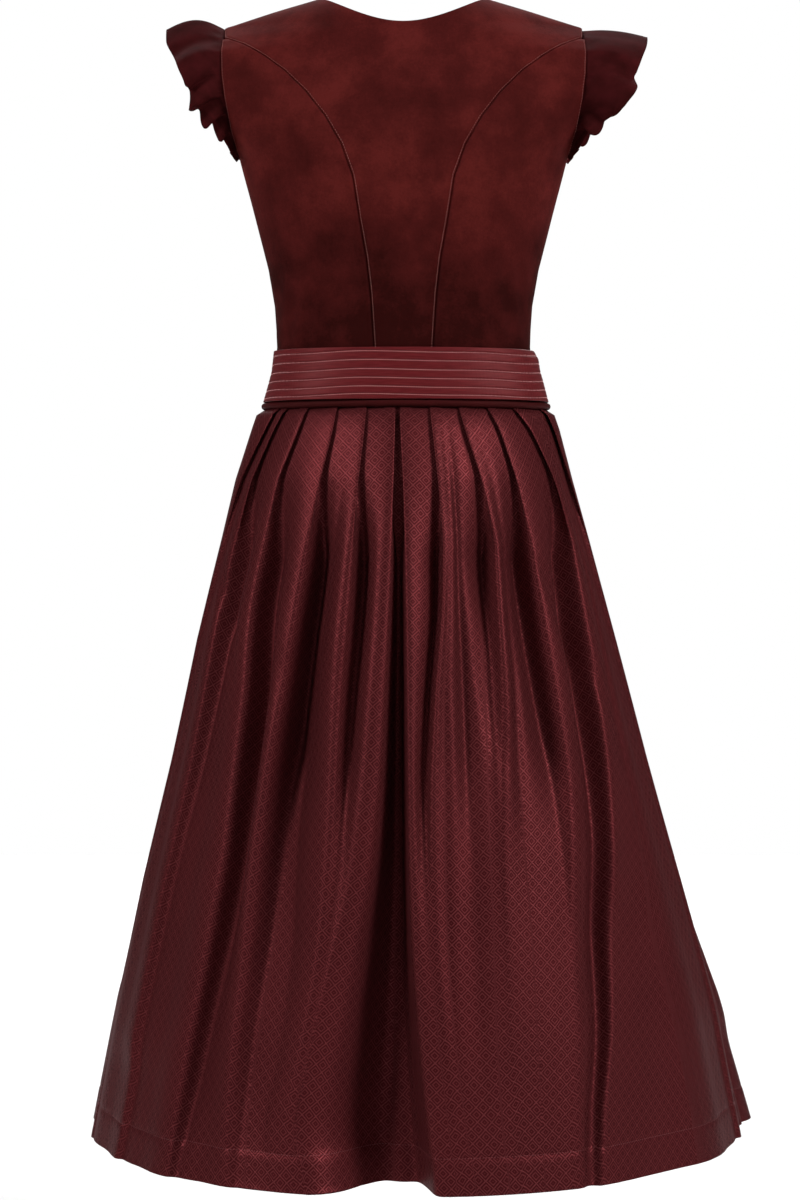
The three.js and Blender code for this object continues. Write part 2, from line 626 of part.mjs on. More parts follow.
// skirt ring over the fold tops; degrees from the centre of the panel, -90 at the left seam
function skirtRing(side, degrees, z) {
  const angle = degrees * RAD;
  const s = Math.sin(angle);
  const c = Math.cos(angle);
  const left = degrees < 0;
  const centre = column(SKIRT, 'centre', z);
  const seamHalf = column(SKIRT, left ? 'left' : 'right', z);
  if (side === 'back') {
    return new THREE.Vector3(seamHalf * s, centre - column(SKIRT, 'back', z) * c, z);
  }
  const frontHalf = column(SKIRT, left ? 'leftFront' : 'rightFront', z);
  const away = smooth((90 - Math.abs(degrees)) / 20);
  const corner = 1 + column(SKIRT, 'square', z) * Math.sin(2 * angle) ** 2;
  const half = mix(seamHalf, frontHalf, away);
  return new THREE.Vector3(half * s * corner, centre + column(SKIRT, 'front', z) * c * corner, z);
}

// a point moved along the ring by some millimetres and pushed in by a depth
function skirtPoint(side, degrees, along, depth, z) {
  const a = skirtRing(side, degrees - 1, z);
  const b = skirtRing(side, degrees + 1, z);
  const perDegree = a.distanceTo(b) / 2;
  const turned = Math.min(90, Math.max(-90, degrees + along / perDegree));
  const p = skirtRing(side, turned, z);
  const before = skirtRing(side, turned - 0.5, z);
  const after = skirtRing(side, turned + 0.5, z);
  const tangent = after.sub(before).normalize();
  const out = new THREE.Vector3(tangent.y, -tangent.x, 0);
  if (side === 'front') out.negate();
  return p.addScaledVector(out, -depth);
}

// one knife fold that faces the centre; dir 1 stands left of the centre, -1 right of it.
// Pressed, the cloth doubles back under itself; open, it is a ridge with a valley beside it.
const PRESSED = [
  { along: -1.5, depth: 0 },
  { along: 0, depth: 1.5 },
  { along: -1.5, depth: 3 },
  { along: -10.5, depth: 3 },
  { along: -12, depth: 4.5 },
  { along: -10.5, depth: 6 },
  { along: 2.5, depth: 5.6 },
];
const OPEN = [
  { along: -10, part: 0 },
  { along: -5, part: 0.02 },
  { along: -1, part: 0.2 },
  { along: 1, part: 0.45 },
  { along: 3, part: 0.7 },
  { along: 7, part: 0.96 },
  { along: 14, part: 0.97 },
];

function knifeFold(fold) {
  const { degrees, deep, pressed, room, dir } = fold;
  const reach = Math.min(1 + Math.max(0, deep - 14) * 0.05, room / 30);
  const keys = PRESSED.map((k, i) => ({
    degrees,
    along: dir * mix(OPEN[i].along * reach, k.along, pressed),
    depth: mix(OPEN[i].part * deep, k.depth, pressed),
  }));
  return dir > 0 ? keys : keys.reverse();
}

// the centre fold: two edges meet over an underlay, then it opens to a deep valley
// whose right edge stays a sharp lip
function centreFold(at, deep, pressed) {
  const span = (from, to, t) => mix(at[from], at[to], t);
  const keys = [
    ['CL', -1.5, 0, at.CL, -14, 0],
    ['CL', 0, 1.5, at.CL, 0, 0.03],
    ['CL', -1.5, 3, span('CL', 'V1', 0.33), 0, 0.2],
    ['CL', -10.5, 3, span('CL', 'V1', 0.66), 0, 0.62],
    ['CL', -12, 4.5, span('CL', 'V1', 0.88), 0, 0.9],
    ['CL', -10.5, 6, span('V1', 'V2', 0.1), 0, 0.99],
    ['V1', 1, 6.4, span('V1', 'V2', 0.5), 0, 1],
    ['CR', 10.5, 6, at.V2, 0, 0.97],
    ['CR', 12, 4.5, span('V2', 'CR', 0.35), 0, 0.8],
    ['CR', 10.5, 3, span('V2', 'CR', 0.62), 0, 0.5],
    ['CR', 1.5, 3, span('V2', 'CR', 0.85), 0, 0.2],
    ['CR', 0, 1.5, at.CR, 0, 0.03],
    ['CR', 1.5, 0, at.CR, 7, 0],
  ];
  return keys.map(([ref, along, depth, openAt, openAlong, part]) => ({
    degrees: mix(openAt, at[ref], pressed),
    along: mix(openAlong, along, pressed),
    depth: mix(part * deep, depth, pressed),
  }));
}

// a small fold that starts below the waist: ridge, slope and valley on an existing panel
function lateFold(degrees, deep, dir) {
  const reach = dir * (2.5 + deep * 0.35);
  const keys = [
    { degrees, along: -reach * 1.3, depth: 0, late: true },
    { degrees, along: 0, depth: 0.3 * deep, late: true },
    { degrees, along: reach, depth: 0.95 * deep, late: true },
  ];
  return dir > 0 ? keys : keys.reverse();
}

function perDegreeAt(side, degrees, z) {
  return skirtRing(side, degrees - 1, z).distanceTo(skirtRing(side, degrees + 1, z)) / 2;
}

// pressed share of a fold: full at the waist, gone well above the knee
function pressedShare(z) {
  return 1 - smooth((SKIRT_TOP_Z - 14 - z) / 150);
}

// late keys ride on the straight line between their main neighbours
function settle(side, keys, z) {
  const place = (k) => k.degrees + k.along / perDegreeAt(side, k.degrees, z);
  keys.forEach((key, i) => {
    if (!key.late) return;
    let a = i;
    while (keys[a].late) a -= 1;
    let b = i;
    while (keys[b].late) b += 1;
    const t = (place(key) - place(keys[a])) / (place(keys[b]) - place(keys[a]));
    key.base = mix(keys[a].depth, keys[b].depth, clamp01(t));
  });
  return keys.map((k) => skirtPoint(side, k.degrees, k.along, k.depth + (k.base || 0), z));
}

function gapBetween(side, a, b, z) {
  return Math.abs(b - a) * perDegreeAt(side, (a + b) / 2, z);
}

function backRow(z) {
  const at = {};
  for (const name of Object.keys(TRACK[0])) at[name] = column(TRACK, name, z);
  const deep = (name) => listValue(DEPTH_Z, DEPTH[name], z);
  const pressed = pressedShare(z);
  const room = (name, left, right) => Math.min(
    gapBetween('back', at[name], at[left], z),
    gapBetween('back', at[name], at[right], z),
  );
  const main = (name, left, right, dir) => knifeFold({
    degrees: at[name], deep: deep(name), pressed, room: room(name, left, right), dir,
  });
  const keys = [
    { degrees: -90, along: 0, depth: 0 },
    ...main('L0', 'L1', 'L1', 1),
    ...main('L1', 'L0', 'L2', 1),
    { degrees: mix(at.L1, at.L2, 0.55), along: 0, depth: mix(0.35 * deep('L1'), 2.6, pressed) },
    ...main('L2', 'L1', 'L3', 1),
    { degrees: mix(at.L2, at.L3, 0.55), along: 0, depth: mix(0.35 * deep('L2'), 2.6, pressed) },
    ...main('L3', 'L2', 'L3b', 1),
    ...lateFold(at.L3b, deep('L3b'), 1),
    ...main('L4', 'L3b', 'CL', 1),
    ...centreFold(at, deep('C'), pressed),
    ...main('R1', 'CR', 'R1b', -1),
    ...lateFold(at.R1b, deep('R1b'), -1),
    ...lateFold(at.R2b, deep('R2b'), -1),
    ...main('R2', 'R2b', 'R3b', -1),
    ...lateFold(at.R3b, deep('R3b'), -1),
    ...main('R3', 'R3b', 'R4', -1),
    { degrees: mix(at.R3, at.R4, 0.45), along: 0, depth: mix(0.35 * deep('R4'), 2.6, pressed) },
    ...main('R4', 'R3', 'R5', -1),
    ...lateFold(at.R5, deep('R5'), -1),
    ...main('R0', 'R5', 'R5', -1),
    { degrees: 90, along: 0, depth: 0 },
  ];
  return settle('back', keys, z);
}

function frontRow(z) {
  const pressed = pressedShare(z);
  const knee = -700;
  const place = FRONT_FOLDS.map((f) => {
    if (z > knee) return mix(f.waist, f.knee, smooth((SKIRT_TOP_Z - z) / (SKIRT_TOP_Z - knee)));
    return mix(f.knee, f.hem, (knee - z) / (knee - HEM_Z));
  });
  const keys = [{ degrees: -90, along: 0, depth: 0 }];
  FRONT_FOLDS.forEach((f, i) => {
    const dir = f.waist < 0 ? 1 : -1;
    const deep = mix(f.open, f.low, clamp01((-560 - z) / 500));
    const low = i > 0 ? place[i - 1] : -90;
    const high = i < place.length - 1 ? place[i + 1] : 90;
    const room = Math.min(gapBetween('front', place[i], low, z), gapBetween('front', place[i], high, z));
    keys.push(...knifeFold({ degrees: place[i], deep, pressed, room, dir }));
    if (f.waist === -13) keys.push({ degrees: 0, along: 0, depth: mix(2.5, 1, pressed) });
  });
  keys.push({ degrees: 90, along: 0, depth: 0 });
  return settle('front', keys, z);
}

// skirt panel: the row shapes are its middle surface; its end rows stop short of the side seam
function skirtPanel(side, heights, rowAt) {
  const mids = heights.map(rowAt);
  for (const row of mids) {
    row[0].y += side === 'back' ? -SEAM_GAP : SEAM_GAP;
    row[row.length - 1].y += side === 'back' ? -SEAM_GAP : SEAM_GAP;
  }
  const normals = gridNormals(mids);
  for (const row of normals) {
    const left = Math.sign(mids[0][0].x);
    row[0].set(Math.sign(row[0].x) || left, 0, 0);
    row[row.length - 1].set(Math.sign(row[row.length - 1].x) || -left, 0, 0);
  }
  const shift = (amount) => mids.map((row, i) => row.map((p, j) => {
    const n = normals[i][j].clone();
    n.z = 0;
    return p.clone().addScaledVector(n.normalize(), amount);
  }));
  return wallGeometry(shift(WALL / 2), shift(-WALL / 2), false);
}

const COLOURS = {
  velvet: 0x4a1716,
  frill: 0x3f1315,
  satin: 0x762428,
  piping: 0x3d0f10,
  jacquard: 0x5c2228,
};

const dress = new THREE.Group();
dress.name = 'dirndl_dress';

function add(name, geometry, colour, roughness) {
  const material = new THREE.MeshStandardMaterial({ color: colour, roughness, metalness: 0 });
  const mesh = new THREE.Mesh(geometry, material);
  mesh.name = name;
  dress.add(mesh);
}

const BACK_SIDE_ROWS = [
  -403, -376, -349, -300, -265, -232, -187, -165, -161, -156, -128, -103, -81, -65, -51, -43.5,
];
const FRONT_SIDE_ROWS = [
  -403, -372, -340, -295, -255, -215, -176, -165, -161, -156, -143, -127, -111, -99, -90,
];

add('bodice_back_centre', backCentre(), COLOURS.velvet, 0.85);
for (const [hand, word] of [[-1, 'left'], [1, 'right']]) {
  const backSeam = (z) => seamXAt(BACK_SEAM, 'x', 'z', z);
  const frontSeam = (z) => seamXAt(FRONT_EDGES, 'outerX', 'outerZ', z);
  const backSide = sidePanel('back', hand, backSeam, BACK_SIDE_ROWS);
  const frontSide = sidePanel('front', hand, frontSeam, FRONT_SIDE_ROWS);
  add(`bodice_back_side_${word}`, backSide, COLOURS.velvet, 0.85);
  add(`bodice_front_side_${word}`, frontSide, COLOURS.velvet, 0.85);
  add(`bodice_front_centre_${word}`, frontCentre(hand), COLOURS.velvet, 0.85);
}
add('frill_left', frill(-1, FRILL_LEFT, FOLDS_LEFT, FRONT_RISE_LEFT), COLOURS.frill, 0.75);
add('frill_right', frill(1, FRILL_RIGHT, FOLDS_RIGHT, FRONT_RISE_RIGHT), COLOURS.frill, 0.75);
add('waistband', waistband(), COLOURS.satin, 0.4);
add('waist_piping', piping(), COLOURS.piping, 0.5);
add('skirt_back', skirtPanel('back', SKIRT_ROWS, backRow), COLOURS.jacquard, 0.5);
add('skirt_front', skirtPanel('front', SKIRT_ROWS, frontRow), COLOURS.jacquard, 0.5);

export default dress;
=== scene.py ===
"""Dirndl dress, worn form with an empty inside, shown from the back.

Metres, +Z up; the shown back faces -Y and the wearer's right is +X.  Every cloth piece is a
surface worked out from the dress's sizes, with a wall added by Solidify.
"""

import math

import bpy
import numpy as np
from bpy.props import FloatProperty, FloatVectorProperty, PointerProperty
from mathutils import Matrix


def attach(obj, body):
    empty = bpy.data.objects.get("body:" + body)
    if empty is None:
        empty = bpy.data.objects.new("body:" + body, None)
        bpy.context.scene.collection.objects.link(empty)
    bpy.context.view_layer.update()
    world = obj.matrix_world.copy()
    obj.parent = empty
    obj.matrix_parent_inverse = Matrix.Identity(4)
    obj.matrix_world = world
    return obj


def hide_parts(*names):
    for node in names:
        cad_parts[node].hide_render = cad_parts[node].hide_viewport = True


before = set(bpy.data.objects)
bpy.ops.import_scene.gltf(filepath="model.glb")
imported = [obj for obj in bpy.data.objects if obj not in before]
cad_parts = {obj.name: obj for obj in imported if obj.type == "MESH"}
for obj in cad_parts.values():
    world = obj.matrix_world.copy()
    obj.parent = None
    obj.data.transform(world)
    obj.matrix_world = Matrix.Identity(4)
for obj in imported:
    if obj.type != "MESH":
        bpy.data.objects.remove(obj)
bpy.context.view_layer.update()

bl_info = {
    "name": "Dirndl dress",
    "version": (1, 0, 0),
    "blender": (4, 5, 0),
    "location": "3D View > Sidebar > Dress",
    "description": "Builds the bodice, frills, waistband and pleated skirt of a dirndl dress",
    "category": "Add Mesh",
}

MM = 0.001

# sizes in millimetres, as the cut gives them
NECK_HALF = 85.0
NECK_DROP = 31.5
SHOULDER_FALL = 0.305
SHOULDER_ROUND = 50.0
SECTION_POWER = 2.2
WAIST_Z = -403.0
UNDERARM_Z = -165.0
SHOULDER_TIP_Z = -28.7
BAND_TOP_Z = -352.0
BAND_BOTTOM_Z = -402.6
PIPING_Z = -407.1
PIPING_RADIUS = 3.5
SKIRT_TOP_Z = -411.2
HEM_Z = -1141.0
HEM_FOLD = 34.0
HEM_LINE_Z = HEM_Z + HEM_FOLD
SHOULDER_TIP_X = 179.0
# half of the gap between two neighbouring panels
SEAM_GAP = 0.15
# seam allowance turned in behind a panel, and the panel's wall
TURN_IN = 4.0
BODICE_WALL = 0.9
# distance of the stitches from the princess seams and from the armholes
SEAM_STITCH = 1.8
ARMHOLE_STITCH = 2.6
# how far the threads' middles lie above the cloth
STITCH_LIFT = {"velvet": 0.25, "armhole": 0.2, "hem": 0.3, "band": 0.35}
# top of each side panel and its rows above the underarm
SIDE_TOP = {"back": (-43.5, 40), "front": (-90, 26)}
# the band's stitched lines, its gap to the bodice, and the walls of band and frill
BAND_LINES = np.array([-357, -365.5, -374.5, -383, -391.5, -399.0])
BAND_GAP = 1.3
BAND_CLOTH = 1.6
BAND_WALL = 1.2
FRILL_WALL = 0.7
# the cord's middle line: half width left and right, depth back and front
PIPING_LEFT, PIPING_RIGHT = 138.5, 143.5
PIPING_BACK, PIPING_FRONT = 92.0, 97.5
# width of the jacquard's lozenge
LOZENGE = 13.5
# which way each side of the dress faces, and the two hands
SIDE_Y = {"back": -1.0, "front": 1.0}
HANDS = ((-1, "left"), (1, "right"))
# points in the hollow from which outward is told
BODICE_INSIDE = np.array([0.0, 0.0, -250.0])
BAND_INSIDE = np.array([0.0, 0.0, -380.0])
SKIRT_INSIDE = np.array([0.0, 30.0, -900.0])

# the stage in metres, lens and sensor in millimetres; the picture's middle is moved by pixels
CAMERA_Z = -0.529
CAMERA_LENS = 93.0
CAMERA_SENSOR = 36.0
SHIFT_PIXELS = np.array([-3.5, -71.2])
PICTURE_HEIGHT = 1200
FLOOR_Z = -1.34
FLOOR_HALF = 9.0
FLOOR_BACK = 4.6


def table(names, rows):
    """Rows of numbers with named columns, top row first, as a dict of arrays."""
    cells = np.array(rows, dtype=float)
    return {name: cells[:, i] for i, name in enumerate(names.split())}


def read(rows, name, z):
    """Value of a named column at height z, straight between the rows."""
    return np.interp(-np.asarray(z, dtype=float), -rows["z"], rows[name])


# half width at the side seam and depth of back and front, by height
BODICE = table("z half back front", [
    (30, 162, 55, 60), (0, 162, 55, 60), (-32, 162, 65, 70), (-60, 162, 78, 80),
    (-100, 162, 92, 92), (-140, 162, 100, 104), (-165, 162, 101, 112), (-199, 153, 99, 121),
    (-235, 144, 94, 124), (-271, 134.5, 88, 112), (-307, 128.5, 84, 100), (-331, 127, 83, 95),
    (-349, 126, 83, 93), (-372, 129, 86, 94), (-403, 137, 91, 97),
])

# armhole edge from the shoulder tip down to the underarm
ARMHOLE = table("z x back front", [
    (30, 179, 0, 0), (-28.7, 179, 0, 0), (-41, 180.2, 21, 17), (-57, 181, 42, 34),
    (-80, 180, 50, 47), (-105, 177, 50, 53), (-134, 171.5, 42, 46), (-155, 165, 25, 27),
    (-162, 163, 12, 13), (-165, 162, 0, 0),
])

# back princess seam from the shoulder tip down to the waist
BACK_SEAM = table("z x", [
    (-28.7, 179), (-31, 179), (-35, 179), (-41, 178), (-51, 158), (-65, 137), (-81, 116.5),
    (-103, 95), (-128, 76), (-156, 60), (-187, 49), (-232, 42), (-265, 36), (-300, 32),
    (-349, 29), (-376, 28.4), (-403, 28),
])

# front centre panel: inner edge (closing, then neckline) and outer edge, from the waist up
FRONT_EDGES = table("inner_x inner_z outer_x outer_z", [
    (0, -403, 45, -403), (0, -372, 46, -372), (0, -340, 51, -340), (0, -295, 60, -295),
    (0, -255, 70, -255), (0, -218, 80, -215), (0, -188, 94, -176), (0, -165, 112, -143),
    (30, -156, 138, -111), (51, -132, 172, -86), (63, -100, 179, -69), (72, -66, 180, -54),
    (79, -34, 179.5, -41), (82.5, -14, 179, -34), (84.3, -4, 179, -30.5), (85, 0, 179, -28.7),
])

# frill: how far the free edge stands off the armhole, how high its waves are, how far their
# crests lean to the underarm and how much farther than the troughs they reach; z here is minus
# the part of the way from tip to underarm
FRILL_LEFT = table("z out fall away arch wave lean lobe", [
    (0, 57, -2, 0, 10, 2, 0, 0), (-0.06, 55, -8, 2, 8, 2, 3, 0), (-0.12, 48, -10, 5, 6, 3, 8, 0),
    (-0.26, 36, -10, 9, 4, 6, 15, 0), (-0.34, 33, -14, 11, 4, 7, 12, 0),
    (-0.35, 30, -15, 12, 4, 7, 10, 2), (-0.53, 30, -12, 12, 4, 7, 7, 5),
    (-0.6, 23, -13, 12, 4, 6.5, 7, 6), (-0.665, 16, -11, 12, 3, 6, 6, 6),
    (-0.72, 12, -10, 11, 3, 5.5, 6, 5), (-0.79, 7, -8, 10, 2, 5, 5, 4.5),
    (-0.85, 5, -6, 8, 1, 4, 4, 2.5), (-0.915, 3.5, -6, 6, 0, 3, 3, 1.2), (-1, 2, -2, 5, 0, 2, 0, 0),
])
FRILL_RIGHT = table("z out fall away arch wave lean lobe", [
    (0, 64, -7, 0, 3, 1, 0, 0), (-0.07, 61, -10, 3, 3, 2, 2, 0), (-0.15, 54, -12, 6, 5, 3, 4, 0),
    (-0.25, 48, -14, 9, 5, 5, 4, 1), (-0.29, 48, -15, 10, 5, 6, 4, 3.5),
    (-0.34, 48, -17, 11, 5, 6.5, 4, 4), (-0.43, 38, -17, 13, 5, 7, 5, 4.5),
    (-0.5, 33, -17, 13, 4, 7, 6, 4), (-0.58, 30, -16, 13, 4, 6, 6, 4),
    (-0.67, 21, -12, 12, 3, 5.5, 6, 5), (-0.74, 11, -8, 11, 2, 5, 5, 5),
    (-0.81, 6, -8, 10, 1, 5, 4, 4), (-0.88, 4.5, -6, 8, 0, 4, 3, 1.5), (-1, 2, 0, 4, 0, 2, 0, 0),
])
# where crests and troughs alternate between the shoulder tip (0) and the underarm (1)
FOLDS_LEFT = np.array([0, 0.12, 0.26, 0.42, 0.53, 0.6, 0.665, 0.72, 0.79, 0.85, 0.915, 0.955, 1])
FOLDS_RIGHT = np.array([0, 0.29, 0.43, 0.67, 0.74, 0.81, 0.88, 0.94, 1])
# crests are rounder than troughs by this share of a radian
CREST_WIDTH = 0.45
# the front half reaches less far towards the underarm
FRONT_SHARE = 0.7
# how much higher the front half stands at the shoulder, by hand
FRONT_RISE = {-1: 6.0, 1: 0.0}
# height of the armhole's middle, how far the frill is set in towards it and inward from the
# edge, and the reach that this takes up
ARMHOLE_MIDDLE_Z = -97.0
FRILL_SET_IN = 1.1
FRILL_INWARD = 1.6
FRILL_TAKE_UP = 2.7

# skirt sections over the fold tops; square rounds out the front corners
SKIRT = table("z left right left_front right_front back front centre square", [
    (-411, 145.5, 149.5, 145, 149, 98, 103, 0, 0.02),
    (-430, 152, 156, 152, 156, 110, 114, 0, 0.03),
    (-480, 168, 169, 168, 170, 130, 130, 2, 0.04),
    (-540, 182, 186, 182, 188, 148, 146, 5, 0.05),
    (-640, 207, 213, 207, 215, 176, 172, 10, 0.06),
    (-760, 233, 245, 235, 248, 207, 198, 18, 0.08),
    (-880, 262, 279, 270, 287, 240, 215, 28, 0.1),
    (-1010, 290, 315, 303, 334, 276, 230, 38, 0.11),
    (-1141, 315, 341, 328, 372, 308, 238, 44, 0.12),
])

# where each back fold stands, in degrees round from the centre back
TRACK = table("z L0 L1 L2 L3 L3b L4 CL V1 V2 CR R1 R1b R2b R2 R3b R3 R4 R5 R0", [
    (-411, -60, -53, -40.5, -26.5, -21, -14.2, -2.9, -2.6, -2, -1.7,
     9.6, 13.5, 17, 21, 27, 33, 46, 59, 70),
    (-430, -64, -57, -42, -26.5, -21, -14.2, -2.9, -2.4, -1.8, -1.4,
     10, 13.7, 17.2, 22, 28.5, 36.5, 53, 64, 75),
    (-480, -73, -62, -46, -28, -21.5, -14.5, -3, -2, -1.2, -0.4,
     11, 14, 18, 26, 32, 40, 61, 70, 79),
    (-540, -80, -65, -47, -30, -23, -15, -3.7, -2, -1, 0.3,
     11.5, 14.3, 17.6, 28, 33, 41, 62.5, 71, 82),
    (-600, -83, -66, -48, -31, -24.5, -15.3, -4.5, -2, -0.8, 0.6,
     10.5, 13, 17, 26.5, 31.5, 40.5, 59.5, 70.5, 84),
    (-680, -84, -64.5, -44.5, -32, -26.5, -16, -5.3, -2.1, -0.6, 0.7,
     7.5, 11, 16.8, 25, 31, 40, 57, 67, 85),
    (-760, -85, -64, -43.5, -33.5, -27.5, -16, -6.2, -2.2, -0.4, 0.8,
     5.8, 10.3, 16, 22.5, 28.5, 39.5, 54, 65, 85),
    (-840, -85, -64, -42, -33.5, -26, -15.8, -8, -2.4, -0.2, 1,
     5.4, 9.5, 15.3, 20.5, 26.5, 36.5, 49, 64, 85),
    (-920, -85, -64, -43, -33, -24, -16.5, -11.5, -2.5, 0.2, 1.6,
     5.8, 9, 14.5, 19.5, 25.5, 33.5, 44, 61, 85),
    (-1000, -85, -64, -44, -33, -24, -18.5, -14.5, -2.6, 0.8, 2.6,
     6.8, 9.4, 13.8, 18.5, 24, 31, 40, 63, 85),
    (-1080, -85, -64, -45, -32.5, -26, -21, -17.5, -2.8, 1.6, 3.9,
     8, 10.5, 14, 18.5, 23.5, 28.5, 35, 65, 85),
    (-1141, -85, -64, -45, -31, -23, -18.5, -14, -3, 2.4, 5.2,
     9.4, 12, 15, 18.8, 23, 27.5, 33, 64, 85),
])

# how deep each back fold is, in millimetres
DEPTH = table("z L0 L1 L2 L3 L3b L4 C R1 R1b R2b R2 R3b R3 R4 R5 R0", [
    (-411, 6, 6, 6, 6, 0, 6, 6, 6, 0, 0, 6, 0, 6, 6, 0, 6),
    (-560, 5, 14, 15, 18, 4, 17, 20, 16, 2, 6, 16, 5, 16, 16, 4, 6),
    (-740, 4, 11, 17, 20, 9, 14, 38, 13, 7, 11, 8, 10, 14, 16, 7, 5),
    (-900, 3, 11, 18, 18, 12, 6, 54, 3, 6, 9, 3, 5, 4, 17, 8, 6),
    (-1060, 3, 9, 15, 13, 7, 0.8, 68, 0.5, 0.8, 2, 0.6, 0.6, 0.6, 13, 7, 8),
    (-1141, 5, 8, 8, 6, 2, 0.3, 70, 0.3, 0.3, 0.5, 0.4, 0.3, 0.3, 9, 5, 8),
])

# front folds: degrees from the centre front at the waist, the knee and the hem, and depths
FRONT_FOLDS = table("waist knee hem open low", [
    (-72, -80, -81, 9, 8), (-61, -66, -67, 11, 8), (-49, -53, -52, 13, 16), (-37, -39, -41, 12, 9),
    (-25, -26, -25, 14, 18), (-13, -13, -15, 12, 8), (13, 14, 13, 13, 15), (25, 25, 27, 12, 8),
    (37, 38, 37, 14, 17), (49, 51, 54, 12, 9), (61, 64, 64, 12, 12), (72, 79, 80, 9, 8),
])

# folds deeper than the first number also reach wider; one of plain reach takes up the second
FOLD_PLAIN_DEPTH = 14
FOLD_ROOM = 30
# one knife fold: distance along the ring and depth, pressed flat at the waist, open below
PRESSED = [(-1.5, 0), (0, 1.5), (-1.5, 3), (-10.5, 3), (-12, 4.5), (-10.5, 6), (2.5, 5.6)]
OPEN = [(-10, 0), (-5, 0.02), (-1, 0.2), (1, 0.45), (3, 0.7), (7, 0.96), (14, 0.97)]

# the centre fold: pressed (edge, along, depth) and open (share from, share to, part, depth share)
CENTRE = [
    ("CL", -1.5, 0, "CL", "CL", 0, -14, 0), ("CL", 0, 1.5, "CL", "CL", 0, 0, 0.03),
    ("CL", -1.5, 3, "CL", "V1", 0.33, 0, 0.2), ("CL", -10.5, 3, "CL", "V1", 0.66, 0, 0.62),
    ("CL", -12, 4.5, "CL", "V1", 0.88, 0, 0.9), ("CL", -10.5, 6, "V1", "V2", 0.1, 0, 0.99),
    ("V1", 1, 6.4, "V1", "V2", 0.5, 0, 1), ("CR", 10.5, 6, "V2", "V2", 0, 0, 0.97),
    ("CR", 12, 4.5, "V2", "CR", 0.35, 0, 0.8), ("CR", 10.5, 3, "V2", "CR", 0.62, 0, 0.5),
    ("CR", 1.5, 3, "V2", "CR", 0.85, 0, 0.2), ("CR", 0, 1.5, "CR", "CR", 0, 0, 0.03),
    ("CR", 1.5, 0, "CR", "CR", 0, 7, 0),
]

# a crease begins this share of its length early and takes this share to reach its depth
CREASE_EARLY = 0.15
CREASE_RISE = 0.4
# millimetres of skirt in one degree, for the width of its creases
CREASE_DEGREE = 3.4
# soft creases laid over the skirt: from (degrees, z) to (degrees, z), width, depth, in millimetres
SKIRT_CREASES = table("a0 z0 a1 z1 width depth", [
    (-72, -560, -58, -640, 9, 3.0), (-60, -600, -50, -690, 8, 2.5), (-35, -640, -29, -760, 8, 2.0),
    (44, -560, 52, -650, 9, 3.0), (52, -600, 60, -700, 8, 2.5), (20, -640, 24, -760, 8, 2.0),
    (-54, -700, -55, -1141, 16, 4.0), (-75, -620, -73, -1141, 18, 4.0), (-38, -860, -38, -1141, 12, 3.0),
    (-8, -640, -11, -840, 9, -2.0), (56, -760, 54, -1141, 18, 3.0), (74, -640, 75, -1141, 16, 3.5),
    (14, -560, 12, -700, 7, 1.5), (46, -860, 46, -1141, 38, 9.0), (-68, -1040, -68, -1141, 34, 5.0),
])

# soft creases of the bodice: side, then from (x, z) to (x, z), width, depth
BODICE_CREASES = {
    "back": table("x0 z0 x1 z1 width depth", [
        (-108, -292, -113, -345, 7, 1.6), (-92, -306, -96, -350, 6, 1.0), (-123, -270, -126, -330, 6, 1.2),
        (98, -268, 108, -345, 7, 1.7), (112, -262, 121, -338, 6, 1.4), (86, -300, 92, -350, 6, 1.0),
        (-8, -180, 6, -330, 16, -0.8), (-60, -60, -30, -110, 14, 1.0), (70, -55, 40, -105, 14, 1.0),
        (-120, -150, -95, -190, 12, 1.0), (125, -150, 100, -195, 12, 1.0), (0, -330, 2, -352, 12, 0.9),
    ]),
    "front": table("x0 z0 x1 z1 width depth", [
        (-100, -280, -108, -345, 7, 1.5), (96, -285, 106, -346, 7, 1.5), (-30, -320, -26, -352, 8, 1.0),
        (34, -318, 28, -352, 8, 1.0), (-120, -160, -92, -205, 11, 1.3), (122, -158, 95, -208, 11, 1.3),
        (-55, -180, -70, -235, 12, -1.0), (57, -182, 72, -236, 12, -1.0),
    ]),
}


def smooth(t):
    """Three t squared minus two t cubed, held between 0 and 1."""
    c = np.clip(t, 0.0, 1.0)
    return c * c * (3 - 2 * c)


def mix(a, b, t):
    """Straight from a to b by the share t."""
    return a + (b - a) * t


def unit(v):
    """Vectors divided by their lengths."""
    return v / np.maximum(np.linalg.norm(v, axis=-1, keepdims=True), 1e-12)


def two_runs(a, b, c, first, second):
    """Even steps from a to b and on from b to c, by the counts of points in each run."""
    return np.concatenate([np.linspace(a, b, first), np.linspace(b, c, second)[1:]])


def soften(values, passes, axis):
    """Each pass replaces a value by a quarter of both neighbours and half of itself."""
    v = np.moveaxis(values.copy(), axis, 0)
    for _ in range(passes):
        v[1:-1] = 0.25 * v[:-2] + 0.5 * v[1:-1] + 0.25 * v[2:]
    return np.moveaxis(v, 0, axis)


def spread(values, count):
    """Straight in-between columns: count steps for each step of the given columns."""
    n = values.shape[1]
    at = np.linspace(0, n - 1, (n - 1) * count + 1)
    low = np.minimum(at.astype(int), n - 2)
    t = at - low
    return values[:, low] * (1 - t) + values[:, low + 1] * t


def grid_normals(p):
    """Cross product of the differences along columns and along rows, unit length."""
    return unit(np.cross(np.gradient(p, axis=1), np.gradient(p, axis=0)))


def faces_in(points, normals, inside):
    """True if the middle normal looks to the point in the hollow."""
    mid = points.shape[0] // 2, points.shape[1] // 2
    return np.dot(normals[mid], points[mid] - inside) < 0


def outward_normals(points, inside):
    """Normals of a surface, turned away from the point in the hollow."""
    n = grid_normals(points)
    return -n if faces_in(points, n, inside) else n


